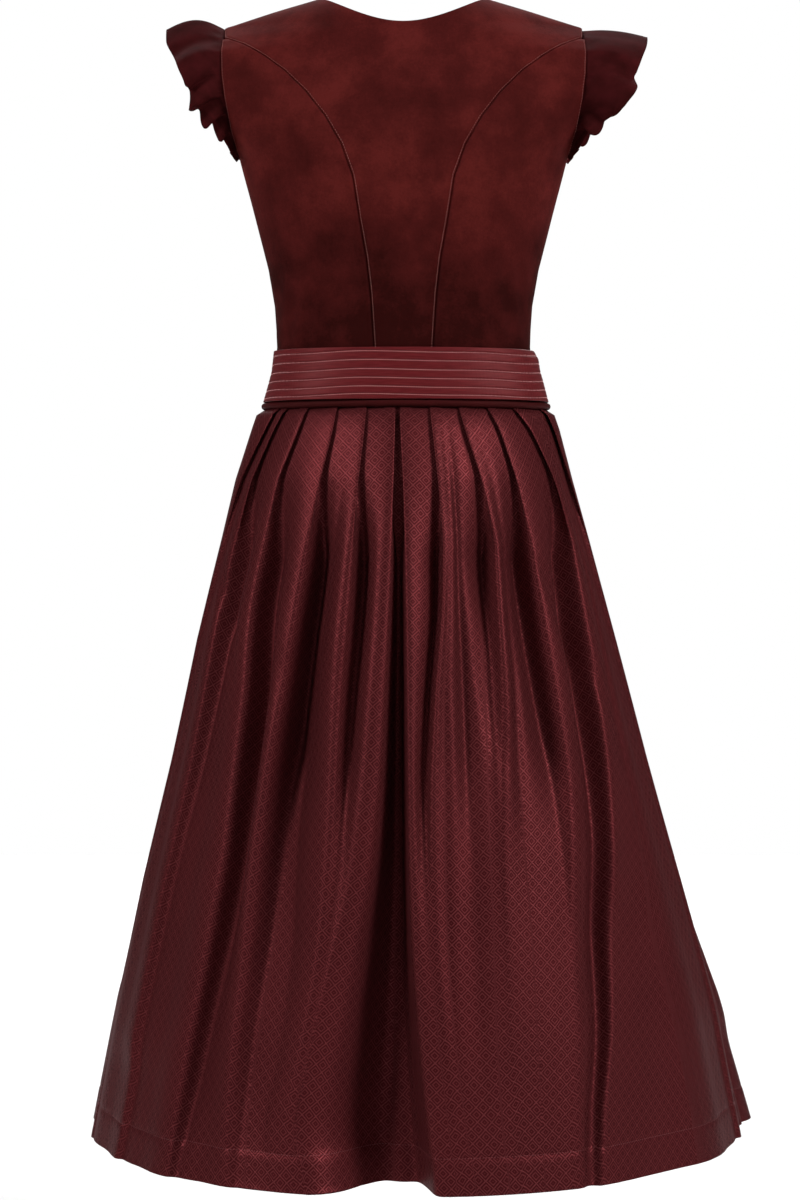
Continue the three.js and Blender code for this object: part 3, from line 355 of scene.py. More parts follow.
def lengths(points, axis):
    """Length along each row (axis 1) or down each column (axis 0), from nought."""
    step = np.linalg.norm(np.diff(points, axis=axis), axis=2)
    start = np.zeros_like(np.take(step, [0], axis=axis))
    return np.concatenate([start, np.cumsum(step, axis=axis)], axis=axis)


def crease_field(rows, a, z, scale):
    """Sum of soft troughs: depth times a bell across each line times a rise and fall along it.
    A trough that reaches the hem doesn't fall off there."""
    total = np.zeros_like(a)
    for a0, z0, a1, z1, width, depth in zip(*(rows[k] for k in rows)):
        t = np.clip((z - z0) / (z1 - z0), -1, 2)
        across = (a - mix(a0, a1, np.clip(t, 0, 1))) * scale / width
        along = smooth((t + CREASE_EARLY) / CREASE_RISE)
        if z1 > HEM_Z:
            along = along * smooth((1 + CREASE_EARLY - t) / CREASE_RISE)
        total += depth * np.exp(-across ** 2) * along
    return total


def new_object(name, data):
    """An object of a mesh, camera or light, linked to the scene."""
    piece = bpy.data.objects.new(name, data)
    bpy.context.scene.collection.objects.link(piece)
    return piece


def make_mesh(name, points, closed=(), uv=None, flip=False):
    """Object from a grid of points.  Quads join neighbours, and the last to the first along
    the axes in closed; uv has one more row or column there."""
    index = np.arange(points.shape[0] * points.shape[1]).reshape(points.shape[:2])
    for axis in closed:
        index = np.concatenate([index, np.take(index, [0], axis=axis)], axis=axis)

    def corners(grid):
        four = [grid[:-1, :-1], grid[:-1, 1:], grid[1:, 1:], grid[1:, :-1]]
        quads = np.stack(four, axis=2).reshape((-1, 4) + grid.shape[2:])
        return quads[:, ::-1] if flip else quads

    quads = corners(index)
    mesh = bpy.data.meshes.new(name)
    mesh.from_pydata((points.reshape(-1, 3) * MM).tolist(), [], quads.tolist())
    if uv is not None:
        layer = mesh.uv_layers.new(name="cloth")
        layer.data.foreach_set("uv", (corners(uv) * MM).reshape(-1).astype(np.float32))
    mesh.polygons.foreach_set("use_smooth", np.ones(len(quads), dtype=bool))
    mesh.update()
    return new_object(name, mesh)


def cloth_piece(name, points, inside, wall, material, node, closed=(), uv=None):
    """A cloth surface that faces away from a point in the hollow, with its wall inward."""
    piece = make_mesh(name, points, closed, uv, flip=faces_in(points, grid_normals(points), inside))
    wall_mod = piece.modifiers.new("cloth wall", "SOLIDIFY")
    wall_mod.thickness = wall * MM
    wall_mod.offset = -1.0
    wall_mod.use_even_offset = False
    piece.data.materials.append(material)
    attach(piece, "root")
    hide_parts(node)
    return piece


def arc_uv(points, centres=None):
    """Cloth coordinates: length along the row from its middle or from each panel's middle,
    and length down the column."""
    columns = points.shape[1]
    middle, start = centres or (np.full(columns, columns // 2), np.zeros(columns))
    u = lengths(points, 1)
    u = u - u[:, middle] + start[None, :]
    return np.stack([u, -lengths(points, 0)], axis=-1)


def shoulder_z(x):
    """Shoulder line, carried on straight inside the neck."""
    return (NECK_HALF - np.abs(x)) * SHOULDER_FALL


def back_top_z(x):
    """Neckline inside the neck half width, shoulder seam outside it."""
    ax = np.abs(x)
    neck = -NECK_DROP * np.maximum(0, 1 - (ax / NECK_HALF) ** 2) ** 1.2
    return np.where(ax >= NECK_HALF, shoulder_z(ax), neck)


def bodice_depth(side, x, z):
    """Depth of the section times a quarter-round towards the shoulder line."""
    h = np.clip((shoulder_z(x) - z) / SHOULDER_ROUND, 0, 1)
    return read(BODICE, side, z) * np.sqrt(np.maximum(0, 1 - (1 - h) ** 2))


def bodice_half(side, z):
    """Half width of the section; above the underarm it is wide enough to pass the armhole edge."""
    low = read(BODICE, "half", z)
    edge_x = read(ARMHOLE, "x", z)
    ratio = np.minimum(0.97, read(ARMHOLE, side, z) / np.maximum(1, bodice_depth(side, edge_x, z)))
    high = edge_x / (1 - ratio ** SECTION_POWER) ** (1 / SECTION_POWER)
    return np.where(z <= UNDERARM_Z, low, high)


def bodice_points(side, x, z):
    """Rounded-box section: (x/half)^n + (y/depth)^n = 1."""
    left = np.maximum(0, 1 - np.abs(x / bodice_half(side, z)) ** SECTION_POWER)
    y = bodice_depth(side, x, z) * left ** (1 / SECTION_POWER)
    return np.stack([x, SIDE_Y[side] * y, z], axis=-1)


def dense(values, places):
    """A column of row values read at in-between row places."""
    return np.interp(places, np.arange(len(values)), values)


def edge_places(count, ends):
    """Places from 0 to 1 that crowd towards both edges when ends is above zero."""
    t = np.linspace(0, 1, count)
    return mix(t, 0.5 - 0.5 * np.cos(math.pi * t), ends)


def seam_relief(points, side):
    """Presses the cloth in beside its seams, which are both ends of each row: a sharp trough at
    the seam, a low ridge 4.5 mm in and a fine trough under the stitches.  Over it lie the soft
    creases and a slow unevenness of a quarter millimetre."""
    n = grid_normals(points)
    n *= np.sign(np.mean(n[..., 1]) * SIDE_Y[side])
    u = lengths(points, 1)
    edges = np.minimum(u, u[:, -1:] - u)
    dip = np.exp(-(edges / 0.8) ** 2) - 0.22 * np.exp(-((edges - 4.5) / 2.6) ** 2)
    dip += 0.12 * np.exp(-((edges - SEAM_STITCH) / 0.5) ** 2)
    x, z = points[..., 0], points[..., 2]
    dip += crease_field(BODICE_CREASES[side], x, z, 1.0)
    dip += 0.25 * np.sin(x / 17 + z / 41) * np.sin(z / 23 - x / 60)
    return points - n * dip[..., None]


def back_centre_points():
    """Rows join the two princess seams and bend up into neckline and shoulders."""
    seam_x, seam_z = BACK_SEAM["x"][::-1], BACK_SEAM["z"][::-1]
    places = two_runs(0, 12, len(seam_x) - 1, 85, 33)
    end_x, end_z = dense(seam_x, places)[:, None], dense(seam_z, places)[:, None]
    part = (end_z - WAIST_Z) / (SHOULDER_TIP_Z - WAIST_Z)
    u = (2 * edge_places(121, 0.35) - 1)[None, :]
    x = u * (end_x - SEAM_GAP)
    z = end_z + part * (back_top_z(u * SHOULDER_TIP_X) - SHOULDER_TIP_Z)
    z[-1] = back_top_z(x[-1])
    p = bodice_points("back", x, z)
    p[..., 1] = np.minimum(p[..., 1], -SEAM_GAP)
    return p


def side_points(side, hand):
    """Rows from the princess seam round to the armhole or the side seam, by even angles."""
    power = SECTION_POWER / 2
    top, rows = SIDE_TOP[side]
    z = two_runs(WAIST_Z, UNDERARM_Z, top, 70, rows)
    if side == "back":
        seam = read(BACK_SEAM, "x", z)
    else:
        seam = np.interp(z, FRONT_EDGES["outer_z"], FRONT_EDGES["outer_x"])
    half = bodice_half(side, z)
    start = np.arcsin(np.minimum(1, ((seam + SEAM_GAP) / half) ** power))
    stop = np.arccos((SEAM_GAP / read(BODICE, side, z)) ** power)
    edge = np.arcsin(np.minimum(1, (read(ARMHOLE, "x", z) / half) ** power))
    stop = np.where(z > UNDERARM_Z, np.minimum(stop, edge), stop)
    t = edge_places(57, 0.3)[None, :]
    angle = mix(start[:, None], stop[:, None], t)
    x = half[:, None] * np.sin(angle) ** (1 / power)
    zz = np.repeat(z[:, None], t.shape[1], axis=1)
    y = np.maximum(SEAM_GAP, bodice_depth(side, x, zz) * np.cos(angle) ** (1 / power))
    return np.stack([hand * x, SIDE_Y[side] * y, zz], axis=-1)


def front_centre_points(hand):
    """Straight rulings from the closing and neckline out to the princess seam and armhole."""
    places = two_runs(0, 7, len(FRONT_EDGES["inner_x"]) - 1, 71, 61)
    cols = {k: dense(v, places)[:, None] for k, v in FRONT_EDGES.items()}
    t = edge_places(57, 0.3)[None, :]
    x = mix(cols["inner_x"] + SEAM_GAP, cols["outer_x"] - SEAM_GAP, t)
    z = mix(cols["inner_z"], cols["outer_z"], t)
    z[-1] = shoulder_z(x[-1])
    p = bodice_points("front", hand * x, z)
    p[..., 1] = np.maximum(p[..., 1], SEAM_GAP)
    return p


def with_turn_in(points):
    """Adds a seam allowance turned in behind a bodice panel at its left and right edges."""
    inward = -TURN_IN * outward_normals(points, BODICE_INSIDE)
    return np.concatenate([points[:, :1] + inward[:, :1], points, points[:, -1:] + inward[:, -1:]], axis=1)


def bodice_panel(name, side, points, material):
    """One velvet panel with pressed seams, creases and turned-in seam allowances; gives the
    pressed surface back for its stitches."""
    pressed = seam_relief(points, side)
    shaped = with_turn_in(pressed)
    piece = cloth_piece(name + "_velvet", shaped, BODICE_INSIDE, BODICE_WALL, material, name,
                        uv=arc_uv(shaped))
    return pressed


def armhole_points(hand, turn):
    """Armhole edge and the part of the way down it; turn runs from the back underarm (0) over
    the shoulder to the front (1)."""
    part = np.abs(turn - 0.5) * 2
    z = mix(SHOULDER_TIP_Z, UNDERARM_Z, part)
    y = np.where(turn < 0.5, -read(ARMHOLE, "back", z), read(ARMHOLE, "front", z))
    return np.stack([hand * read(ARMHOLE, "x", z), y, z], axis=-1), part


def frill_points(hand, rows, folds):
    """Rays leave the armhole edge; one cosine wave a fold grows towards the free edge and its
    crest leans over, with fine gathers at the seam and a shallow line beside the rolled hem."""
    waves, rings = (len(folds) - 1) // 2, 26
    phase = np.linspace(-waves, waves, 2 * waves * 56 + 1)
    side = np.sign(phase)
    turn = 0.5 + 0.48 * side * np.interp(2 * np.abs(phase), np.arange(len(folds)), folds)
    edge, part = armhole_points(hand, turn)
    start = edge + unit([0, 0, ARMHOLE_MIDDLE_Z] - edge * [0, 1, 1]) * FRILL_SET_IN
    start[:, 0] -= hand * FRILL_INWARD
    out, fall, away, arch, wave, lean, lobe = (
        read(rows, k, -part) for k in ("out", "fall", "away", "arch", "wave", "lean", "lobe"))
    share = np.where(side > 0, 1 - (1 - FRONT_SHARE) * smooth((part - 0.3) * 4), 1)
    wave, lobe = wave * share, lobe * share
    fall = fall * share + np.where(side > 0, FRONT_RISE[hand] * smooth(part * 25), 0)
    tip = np.stack([hand * (out * share + FRILL_TAKE_UP), side * away, fall], axis=-1)
    tip, start = soften(tip, 12, 0), soften(start, 4, 0)
    along = unit(armhole_points(hand, turn + 0.01)[0] - armhole_points(hand, turn - 0.01)[0])
    along = unit(soften(along, 40, 0))
    normal, outward = -hand * unit(np.cross(along, tip)), unit(tip)
    r = np.linspace(0, 1, rings + 1)[:, None]
    swing = 2 * math.pi * phase
    crest = np.cos(swing - CREST_WIDTH * np.sin(swing)) + 0.1 * np.cos(2 * swing) * (r - 0.5)
    q = start[None] + tip[None] * r[..., None]
    q[..., 2] += arch[None] * np.sin(math.pi * r)
    grow = smooth(r * 3 + 0.1) * (0.4 + wave * r)
    ripple = 0.6 * r * np.sin(swing * 1.7 + 2.2 * r + hand) * np.sin(0.6 * swing + 1)
    gather = 0.22 * np.exp(-((r - 0.12) / 0.1) ** 2) * np.sin(swing * 4.3 + 0.8 * np.sin(swing))
    hem = 0.4 * np.exp(-(((1 - r) * out - 3.2) / 0.8) ** 2)
    q += normal[None] * (grow * crest + ripple + gather - hem)[..., None]
    q += along[None] * (lean * side * r * 0.5 * (crest + 1))[..., None]
    q += outward[None] * (lobe * r * crest)[..., None]
    return q


def skirt_ring(side, degrees, z):
    """Half ellipses joined at the side seams; the front bulges and squares towards the hem."""
    angle = np.radians(degrees)
    s, c = np.sin(angle), np.cos(angle)
    left = degrees < 0
    half = np.where(left, read(SKIRT, "left", z), read(SKIRT, "right", z))
    centre = read(SKIRT, "centre", z)
    if side == "back":
        return np.stack([half * s, centre - read(SKIRT, "back", z) * c, z], axis=-1)
    front = np.where(left, read(SKIRT, "left_front", z), read(SKIRT, "right_front", z))
    corner = 1 + read(SKIRT, "square", z) * np.sin(2 * angle) ** 2
    half = mix(half, front, smooth((90 - np.abs(degrees)) / 20))
    return np.stack([half * s * corner, centre + read(SKIRT, "front", z) * c * corner, z], axis=-1)


def per_degree(side, degrees, z):
    """Millimetres of ring in one degree."""
    two = skirt_ring(side, degrees + 1, z) - skirt_ring(side, degrees - 1, z)
    return np.linalg.norm(two, axis=-1) / 2


def skirt_place(side, degrees, depth, z):
    """A point of the ring pushed in by a depth, square to the ring."""
    turned = np.clip(degrees, -90, 90)
    tangent = unit(skirt_ring(side, turned + 0.5, z) - skirt_ring(side, turned - 0.5, z))
    out = np.stack([tangent[..., 1], -tangent[..., 0], np.zeros_like(depth)], axis=-1) * -SIDE_Y[side]
    return skirt_ring(side, turned, z) - out * depth[..., None]


def knife_fold(side, degrees, deep, pressed, room, sign, z):
    """Places and depths of one knife fold's seven keys, in order round the ring.  Its reach
    grows by a twentieth for each millimetre over the plain depth, as far as there is room."""
    reach = np.minimum(1 + np.maximum(0, deep - FOLD_PLAIN_DEPTH) * 0.05, room / FOLD_ROOM)
    scale = per_degree(side, degrees, z)
    keys = []
    for (p_along, p_depth), (o_along, o_part) in zip(PRESSED, OPEN):
        along = sign * mix(o_along * reach, p_along, pressed)
        keys.append((degrees + along / scale, mix(o_part * deep, p_depth, pressed), None))
    return keys if sign > 0 else keys[::-1]


def late_fold(side, degrees, deep, sign, z):
    """A fold that starts below the waist and rides on the panel it grows from."""
    reach = sign * (2.5 + deep * 0.35) / per_degree(side, degrees, z)
    keys = [(degrees - reach * 1.3, np.zeros_like(deep), deep), (degrees, 0.3 * deep, deep),
            (degrees + reach, 0.95 * deep, deep)]
    return keys if sign > 0 else keys[::-1]


def centre_fold(at, deep, pressed, z):
    """Two edges over an underlay, opening to a deep valley with a sharp right lip."""
    keys = []
    for edge, along, depth, a, b, share, open_along, part in CENTRE:
        place = mix(mix(at[a], at[b], share), at[edge], pressed)
        shift = mix(open_along, along, pressed) / per_degree("back", place, z)
        keys.append((place + shift, mix(part * deep, depth, pressed), None))
    return keys


def settle(keys):
    """Late keys are laid on the straight line between their main neighbours."""
    degrees = np.stack([k[0] for k in keys], axis=1)
    depth = np.stack([k[1] for k in keys], axis=1)
    late = [k[2] is not None for k in keys]
    mains = [i for i, flag in enumerate(late) if not flag]
    for i, flag in enumerate(late):
        if flag:
            a = max(m for m in mains if m < i)
            b = min(m for m in mains if m > i)
            t = np.clip((degrees[:, i] - degrees[:, a]) / (degrees[:, b] - degrees[:, a]), 0, 1)
            depth[:, i] += mix(depth[:, a], depth[:, b], t)
    return degrees, depth


def below_top(z, start, over):
    """Nought as far as start below the skirt's top, then up smoothly to one over a distance."""
    return smooth((SKIRT_TOP_Z - start - z) / over)


def pressed_share(z):
    """One at the waist, nought some 160 mm lower."""
    return 1 - below_top(z, start=14, over=150)


def back_keys(z):
    """Keys of all the back folds from the left side seam to the right one."""
    at = {name: read(TRACK, name, z) for name in TRACK}
    deep = {name: read(DEPTH, name, z) for name in DEPTH}
    pressed = pressed_share(z)
    flat = np.zeros_like(z)

    def room(name, left, right):
        """Millimetres from a fold to the nearer of two others."""
        a = np.abs(at[name] - at[left]) * per_degree("back", at[name], z)
        b = np.abs(at[name] - at[right]) * per_degree("back", at[name], z)
        return np.minimum(a, b)

    def main(name, left, right, sign):
        """A knife fold that starts at the waist."""
        return knife_fold("back", at[name], deep[name], pressed, room(name, left, right), sign, z)

    def late(name, sign):
        """A fold that starts lower down."""
        return late_fold("back", at[name], deep[name], sign, z)

    def between(a, b, t, name):
        """A shallow place between two folds, a share of the named fold's depth."""
        return [(mix(at[a], at[b], t), mix(0.35 * deep[name], 2.6, pressed), None)]

    keys = [(flat - 90, flat, None)]
    keys += main("L0", "L1", "L1", 1) + main("L1", "L0", "L2", 1) + between("L1", "L2", 0.55, "L1")
    keys += main("L2", "L1", "L3", 1) + between("L2", "L3", 0.55, "L2")
    keys += main("L3", "L2", "L3b", 1) + late("L3b", 1) + main("L4", "L3b", "CL", 1)
    keys += centre_fold(at, deep["C"], pressed, z)
    keys += main("R1", "CR", "R1b", -1) + late("R1b", -1) + late("R2b", -1)
    keys += main("R2", "R2b", "R3b", -1) + late("R3b", -1) + main("R3", "R3b", "R4", -1)
    keys += between("R3", "R4", 0.45, "R4") + main("R4", "R3", "R5", -1)
    keys += late("R5", -1) + main("R0", "R5", "R5", -1)
    keys += [(flat + 90, flat, None)]
    return settle(keys)


def front_keys(z):
    """Keys of all the front folds.  Each place runs from waist to knee and on to the hem, and the
    folds change to their low depth below the hips."""
    knee, hips, change = -700.0, -560, 500
    pressed = pressed_share(z)
    flat = np.zeros_like(z)
    folds = list(zip(*(FRONT_FOLDS[k] for k in ("waist", "knee", "hem", "open", "low"))))
    upper = smooth((SKIRT_TOP_Z - z) / (SKIRT_TOP_Z - knee))
    lower = (knee - z) / (knee - HEM_Z)
    places = [np.where(z > knee, mix(w, k, upper), mix(k, h, lower)) for w, k, h, _, _ in folds]
    edges = [flat - 90] + places + [flat + 90]
    keys = [(flat - 90, flat, None)]
    for i, (waist, _, _, opened, low) in enumerate(folds):
        deep = mix(opened, low, np.clip((hips - z) / change, 0, 1))
        before, place, after = edges[i:i + 3]
        gap = np.minimum(place - before, after - place) * per_degree("front", place, z)
        keys += knife_fold("front", place, deep, pressed, gap, 1 if waist < 0 else -1, z)
        if i == len(folds) // 2 - 1:
            keys.append((flat, mix(flat + 2.5, flat + 1, pressed), None))
    keys.append((flat + 90, flat, None))
    return settle(keys)


def skirt_heights():
    """Row heights, closer at the waist and either side of the hem stitching."""
    sewn_in = [-404.5, -407.5, -410.0]
    hanging = two_runs(SKIRT_TOP_Z, -560, HEM_LINE_Z + 5, 34, 62)
    beside_line = HEM_LINE_Z + np.array([2.2, 0.9, -0.6, -2.5, -9, -18, -27])
    return np.concatenate([sewn_in, hanging, beside_line, [HEM_Z + 1.2, HEM_Z]])


def skirt_points(side):
    """Fold keys, filled in between, softened round the ring and down the cloth, then creased.
    Away from the centre fold the ridges get broader on the way down, and deep folds get deeper
    by a power of their depth.  The top rows lie inside the waist seam."""
    centre_width, plain_depth, deepest, inside_seam = 11, 11, 30, 8.6
    z = skirt_heights()
    degrees, depth = (spread(k, 4) for k in (back_keys(z) if side == "back" else front_keys(z)))
    for passes, axis in ((7, 1), (6, 0)):
        degrees, depth = soften(degrees, passes, axis), soften(depth, passes, axis)
    zz = np.repeat(z[:, None], degrees.shape[1], axis=1)
    aside = 1 - np.exp(-(degrees / centre_width) ** 2)
    crisp, broad = soften(depth, 8, 1), soften(depth, 40, 1)
    depth = mix(depth, crisp, 0.8 * below_top(zz, start=40, over=120) * aside)
    depth = mix(depth, broad, 0.85 * below_top(zz, start=240, over=240) * aside)
    deeper = 1.3 + 0.2 * below_top(zz, start=30, over=60) * smooth((zz + 840) / 120)
    rounded = np.clip(depth, 0, None) * (np.clip(depth, 0.01, deepest) / plain_depth) ** 0.7 * deeper
    depth = mix(depth, rounded, aside * below_top(zz, start=20, over=60))
    fade = below_top(zz, start=30, over=160)
    place = degrees if side == "back" else -degrees * 0.93 + 3
    depth = depth + fade * crease_field(SKIRT_CREASES, place, zz, CREASE_DEGREE)
    uneven = 0.5 * np.sin(np.radians(degrees) * 11 + zz / 160) * np.sin(zz / 70 + degrees / 9)
    depth = depth + fade * uneven
    below_line = HEM_LINE_Z - zz
    depth = depth + 0.55 * np.exp(-(below_line / 1.3) ** 2) - 0.35 * smooth(below_line / 3)
    sewn_in = smooth((zz - SKIRT_TOP_Z + 1.5) / 2.5)
    depth = mix(depth, inside_seam + 0.12 * depth, sewn_in)
    points = skirt_place(side, degrees, depth, zz)
    points[:, [0, -1], 1] += SEAM_GAP * SIDE_Y[side]
    return points, depth


def panel_centres(depth):
    """For each column the middle of its panel between two deep columns, and that panel's start.
    The deep columns are told a little below half way down."""
    told_at, least_depth, least_columns, pattern_shift = 0.55, 4, 12, 54.0
    row = depth[int(depth.shape[0] * told_at)]
    cuts = [0]
    for i in range(2, len(row) - 2):
        if row[i] >= row[i - 2:i + 3].max() and row[i] > least_depth and i - cuts[-1] > least_columns:
            cuts.append(i)
    cuts.append(len(row))
    middle = np.zeros(len(row), dtype=int)
    start = np.zeros(len(row))
    for number, (a, b) in enumerate(zip(cuts[:-1], cuts[1:])):
        middle[a:b] = (a + b) // 2
        start[a:b] = pattern_shift * number
    return middle, start


def around(steps):
    """Even angles once round, without the last."""
    return np.arange(steps) / steps * 2 * math.pi


def band_wander(angle):
    """How far the band's stitched lines run off level: two slow waves."""
    return 0.8 * (1.1 * np.sin(angle * 3 + 0.6) + 0.6 * np.sin(angle * 7 + 2))


def band_points():
    """Six stitched lines round a cone-shaped band.  The cloth is drawn in along the lines,
    puckers finely beside them, puffs between them and stands off more on the right."""
    z = np.linspace(BAND_TOP_Z, BAND_BOTTOM_Z, 66)[:, None]
    angle = around(540)
    c, s = np.cos(angle), np.sin(angle)
    cx, cy = (np.abs(v) ** (2 / SECTION_POWER) * np.sign(v) for v in (c, s))
    zz = z + 0 * angle
    off = zz[..., None] - (BAND_LINES + band_wander(angle)[None, :, None])
    groove = np.exp(-(off / 0.75) ** 2).sum(axis=-1)
    ripple = 0.22 * np.sin(angle * 181 + 3 * np.sin(angle * 5))
    pucker = ripple * np.exp(-(off / 3.2) ** 2).max(axis=-1)
    stand_off = np.interp(z, [BAND_BOTTOM_Z, -382, -360, BAND_TOP_Z], [1.2, 1.3, 1.1, 0.2])
    lift = BAND_GAP + BAND_CLOTH + stand_off * 4 * smooth((c - 0.6) / 0.4) + 0.35 - 0.95 * groove + pucker
    lift += 0.5 * np.sin(angle * 2 + 1.1) * np.sin((z - BAND_TOP_Z) / 16)
    half = read(BODICE, "half", z) + lift
    depth = np.where(s < 0, read(BODICE, "back", z), read(BODICE, "front", z)) + lift
    return np.stack([half * cx, depth * cy, zz], axis=-1)


def band_stitches(band):
    """Paths and normals of the stitched lines, read from the band's surface between its rows."""
    z, columns = band[:, 0, 2], np.arange(band.shape[1])
    for line in BAND_LINES:
        at = line + band_wander(around(len(columns)))
        place = np.clip((z[0] - at) / (z[0] - z[-1]) * (len(z) - 1), 0, len(z) - 1.001)
        low = place.astype(int)
        path = mix(band[low, columns], band[low + 1, columns], (place - low)[:, None])
        normal = unit(path * [1, 1, 0])
        yield path + normal * STITCH_LIFT["band"], normal


def piping_points():
    """A round cord carried round the waist, with a slight flat where its ends meet."""
    angle, turn = around(360)[None], around(20)[:, None]
    c, s = np.cos(angle), np.sin(angle)
    half = np.where(c > 0, PIPING_RIGHT, PIPING_LEFT)
    depth = np.where(s < 0, PIPING_BACK, PIPING_FRONT)
    radius = PIPING_RADIUS * (1 - 0.12 * np.exp(-((angle - 4.87) / 0.012) ** 2))
    r = radius * np.cos(turn)
    return np.stack([(half + r) * c, (depth + r) * s, PIPING_Z + radius * np.sin(turn)], axis=-1)


def along_path(points, lengths_to, at):
    """Points read from a path at the given lengths along it."""
    return np.stack([np.interp(at, lengths_to, points[:, k]) for k in range(3)], axis=-1)


def stitch_mesh(name, paths, pitch, length, width, material):
    """Short pointed threads in a row along each path: six corners and eight faces a stitch,
    turned so that each holds a positive volume.  Paths shorter than a stitch are passed over."""
    corners, faces, base = [], [], 0
    octa = np.array([(0, 2, 4), (2, 1, 4), (1, 3, 4), (3, 0, 4),
                     (2, 0, 5), (1, 2, 5), (3, 1, 5), (0, 3, 5)])
    for points, normals in paths:
        s = np.concatenate([[0], np.cumsum(np.linalg.norm(np.diff(points, axis=0), axis=1))])
        at = np.arange(pitch * 0.6, s[-1] - pitch * 0.5, pitch)
        if len(at) == 0:
            continue
        place = along_path(points, s, at)
        normal = unit(along_path(normals, s, at))
        tangent = unit(along_path(points, s, at + 0.4) - place)
        side = unit(np.cross(tangent, normal))
        block = np.stack([
            place - tangent * length / 2, place + tangent * length / 2,
            place + side * width / 2, place - side * width / 2,
            place + normal * width * 0.5, place - normal * width * 0.4,
        ], axis=1)
        corners.append(block.reshape(-1, 3))
        faces.append((octa[None] + (np.arange(len(at)) * 6)[:, None, None] + base).reshape(-1, 3))
        base += len(at) * 6
    points = np.concatenate(corners)
    tris = np.concatenate(faces)
    a, b, c = (points[tris[:8, k]] - points[0] for k in range(3))
    if np.einsum("ij,ij->", a, np.cross(b, c)) < 0:
        tris = tris[:, ::-1]
    mesh = bpy.data.meshes.new(name)
    mesh.from_pydata((points * MM).tolist(), [], tris.tolist())
    mesh.update()
    piece = new_object(name, mesh)
    piece.data.materials.append(material)
    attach(piece, "root")


def column_at_distance(points, distance, from_right=False):
    """The line on a surface a fixed distance along each row from its left or right end, and
    which rows are wide enough for it."""
    p = points[:, ::-1] if from_right else points
    u = lengths(p, 1)
    path = [[np.interp(distance, row_u, column) for column in row.T] for row_u, row in zip(u, p)]
    return np.array(path), u[:, -1] > distance * 2.2


def centre_stitches(pressed, side):
    """Stitch paths beside both seams of a centre panel; their normals lie level and come from
    40 mm behind the middle of the dress."""
    behind = -40.0 * SIDE_Y[side]
    for right in (False, True):
        path, keep = column_at_distance(pressed, SEAM_STITCH, right)
        normal = unit((path[keep] - [0, behind, 0]) * [1, 1, 0])
        STITCH_PATHS["velvet"].append((path[keep] + normal * STITCH_LIFT["velvet"], normal))


def armhole_stitches(pressed, hand):
    """Stitch path beside a side panel's armhole edge, above the underarm."""
    path, keep = column_at_distance(pressed, ARMHOLE_STITCH, True)
    path = path[keep & (path[:, 2] > UNDERARM_Z + 2)]
    STITCH_PATHS["velvet"].append((path + [hand * STITCH_LIFT["armhole"], 0, 0], unit(path * [1, 2, 0])))


def linear(hex_colour):
    """sRGB hex to linear red, green, blue, alpha."""
    parts = [int(hex_colour[i:i + 2], 16) / 255 for i in (1, 3, 5)]
    return tuple(c / 12.92 if c <= 0.04045 else ((c + 0.055) / 1.055) ** 2.4 for c in parts) + (1.0,)


def opaque(colour):
    """Red, green, blue with full alpha."""
    return tuple(colour) + (1.0,)


def set_inputs(tree, node, inputs):
    """Links sockets into a node and sets its plain numbers and colours."""
    for key, value in inputs.items():
        if isinstance(value, bpy.types.NodeSocket):
            tree.links.new(value, node.inputs[key])
        else:
            node.inputs[key].default_value = value


def add_node(tree, kind, settings=None, inputs=None):
    """Adds a node, sets its options and its input values or links."""
    node = tree.nodes.new(kind)
    for key, value in (settings or {}).items():
        setattr(node, key, value)
    set_inputs(tree, node, inputs or {})
    return node


def calc(tree, operation, a, b=0.0, c=0.0):
    """One step of arithmetic on numbers or sockets."""
    return add_node(tree, "ShaderNodeMath", {"operation": operation}, {0: a, 1: b, 2: c}).outputs[0]


def noise(tree, vector, scale, detail, roughness=0.5):
    """Cloudy noise between nought and one, scale waves in each unit of the vector."""
    return add_node(tree, "ShaderNodeTexNoise", None, {
        "Vector": vector, "Scale": scale, "Detail": detail, "Roughness": roughness}).outputs["Fac"]


def bump(tree, height, strength, distance):
    """Normal that leans by the slope of a height."""
    return add_node(tree, "ShaderNodeBump", None, {
        "Strength": strength, "Distance": distance, "Height": height}).outputs["Normal"]


def ramp(tree, value, stops):
    """Colour read from a value, straight between stops of a place and a colour."""
    node = add_node(tree, "ShaderNodeValToRGB", None, {"Fac": value})
    elements = node.color_ramp.elements
    first, *between, last = stops
    for element, (place, colour) in zip(elements, (first, last)):
        element.position = place
        element.color = colour
    for place, colour in between:
        elements.new(place).color = colour
    return node.outputs["Color"]


def cloth_place(tree):
    """The cloth's own coordinates, in metres along and down the piece."""
    return add_node(tree, "ShaderNodeUVMap", {"uv_map": "cloth"}).outputs["UV"]


def object_place(tree):
    """Place in the dress, in metres."""
    return add_node(tree, "ShaderNodeTexCoord").outputs["Object"]


def blank_material(name):
    """A new material with its node tree and its shader."""
    material = bpy.data.materials.new(name)
    material.use_nodes = True
    tree = material.node_tree
    return material, tree, tree.nodes["Principled BSDF"]


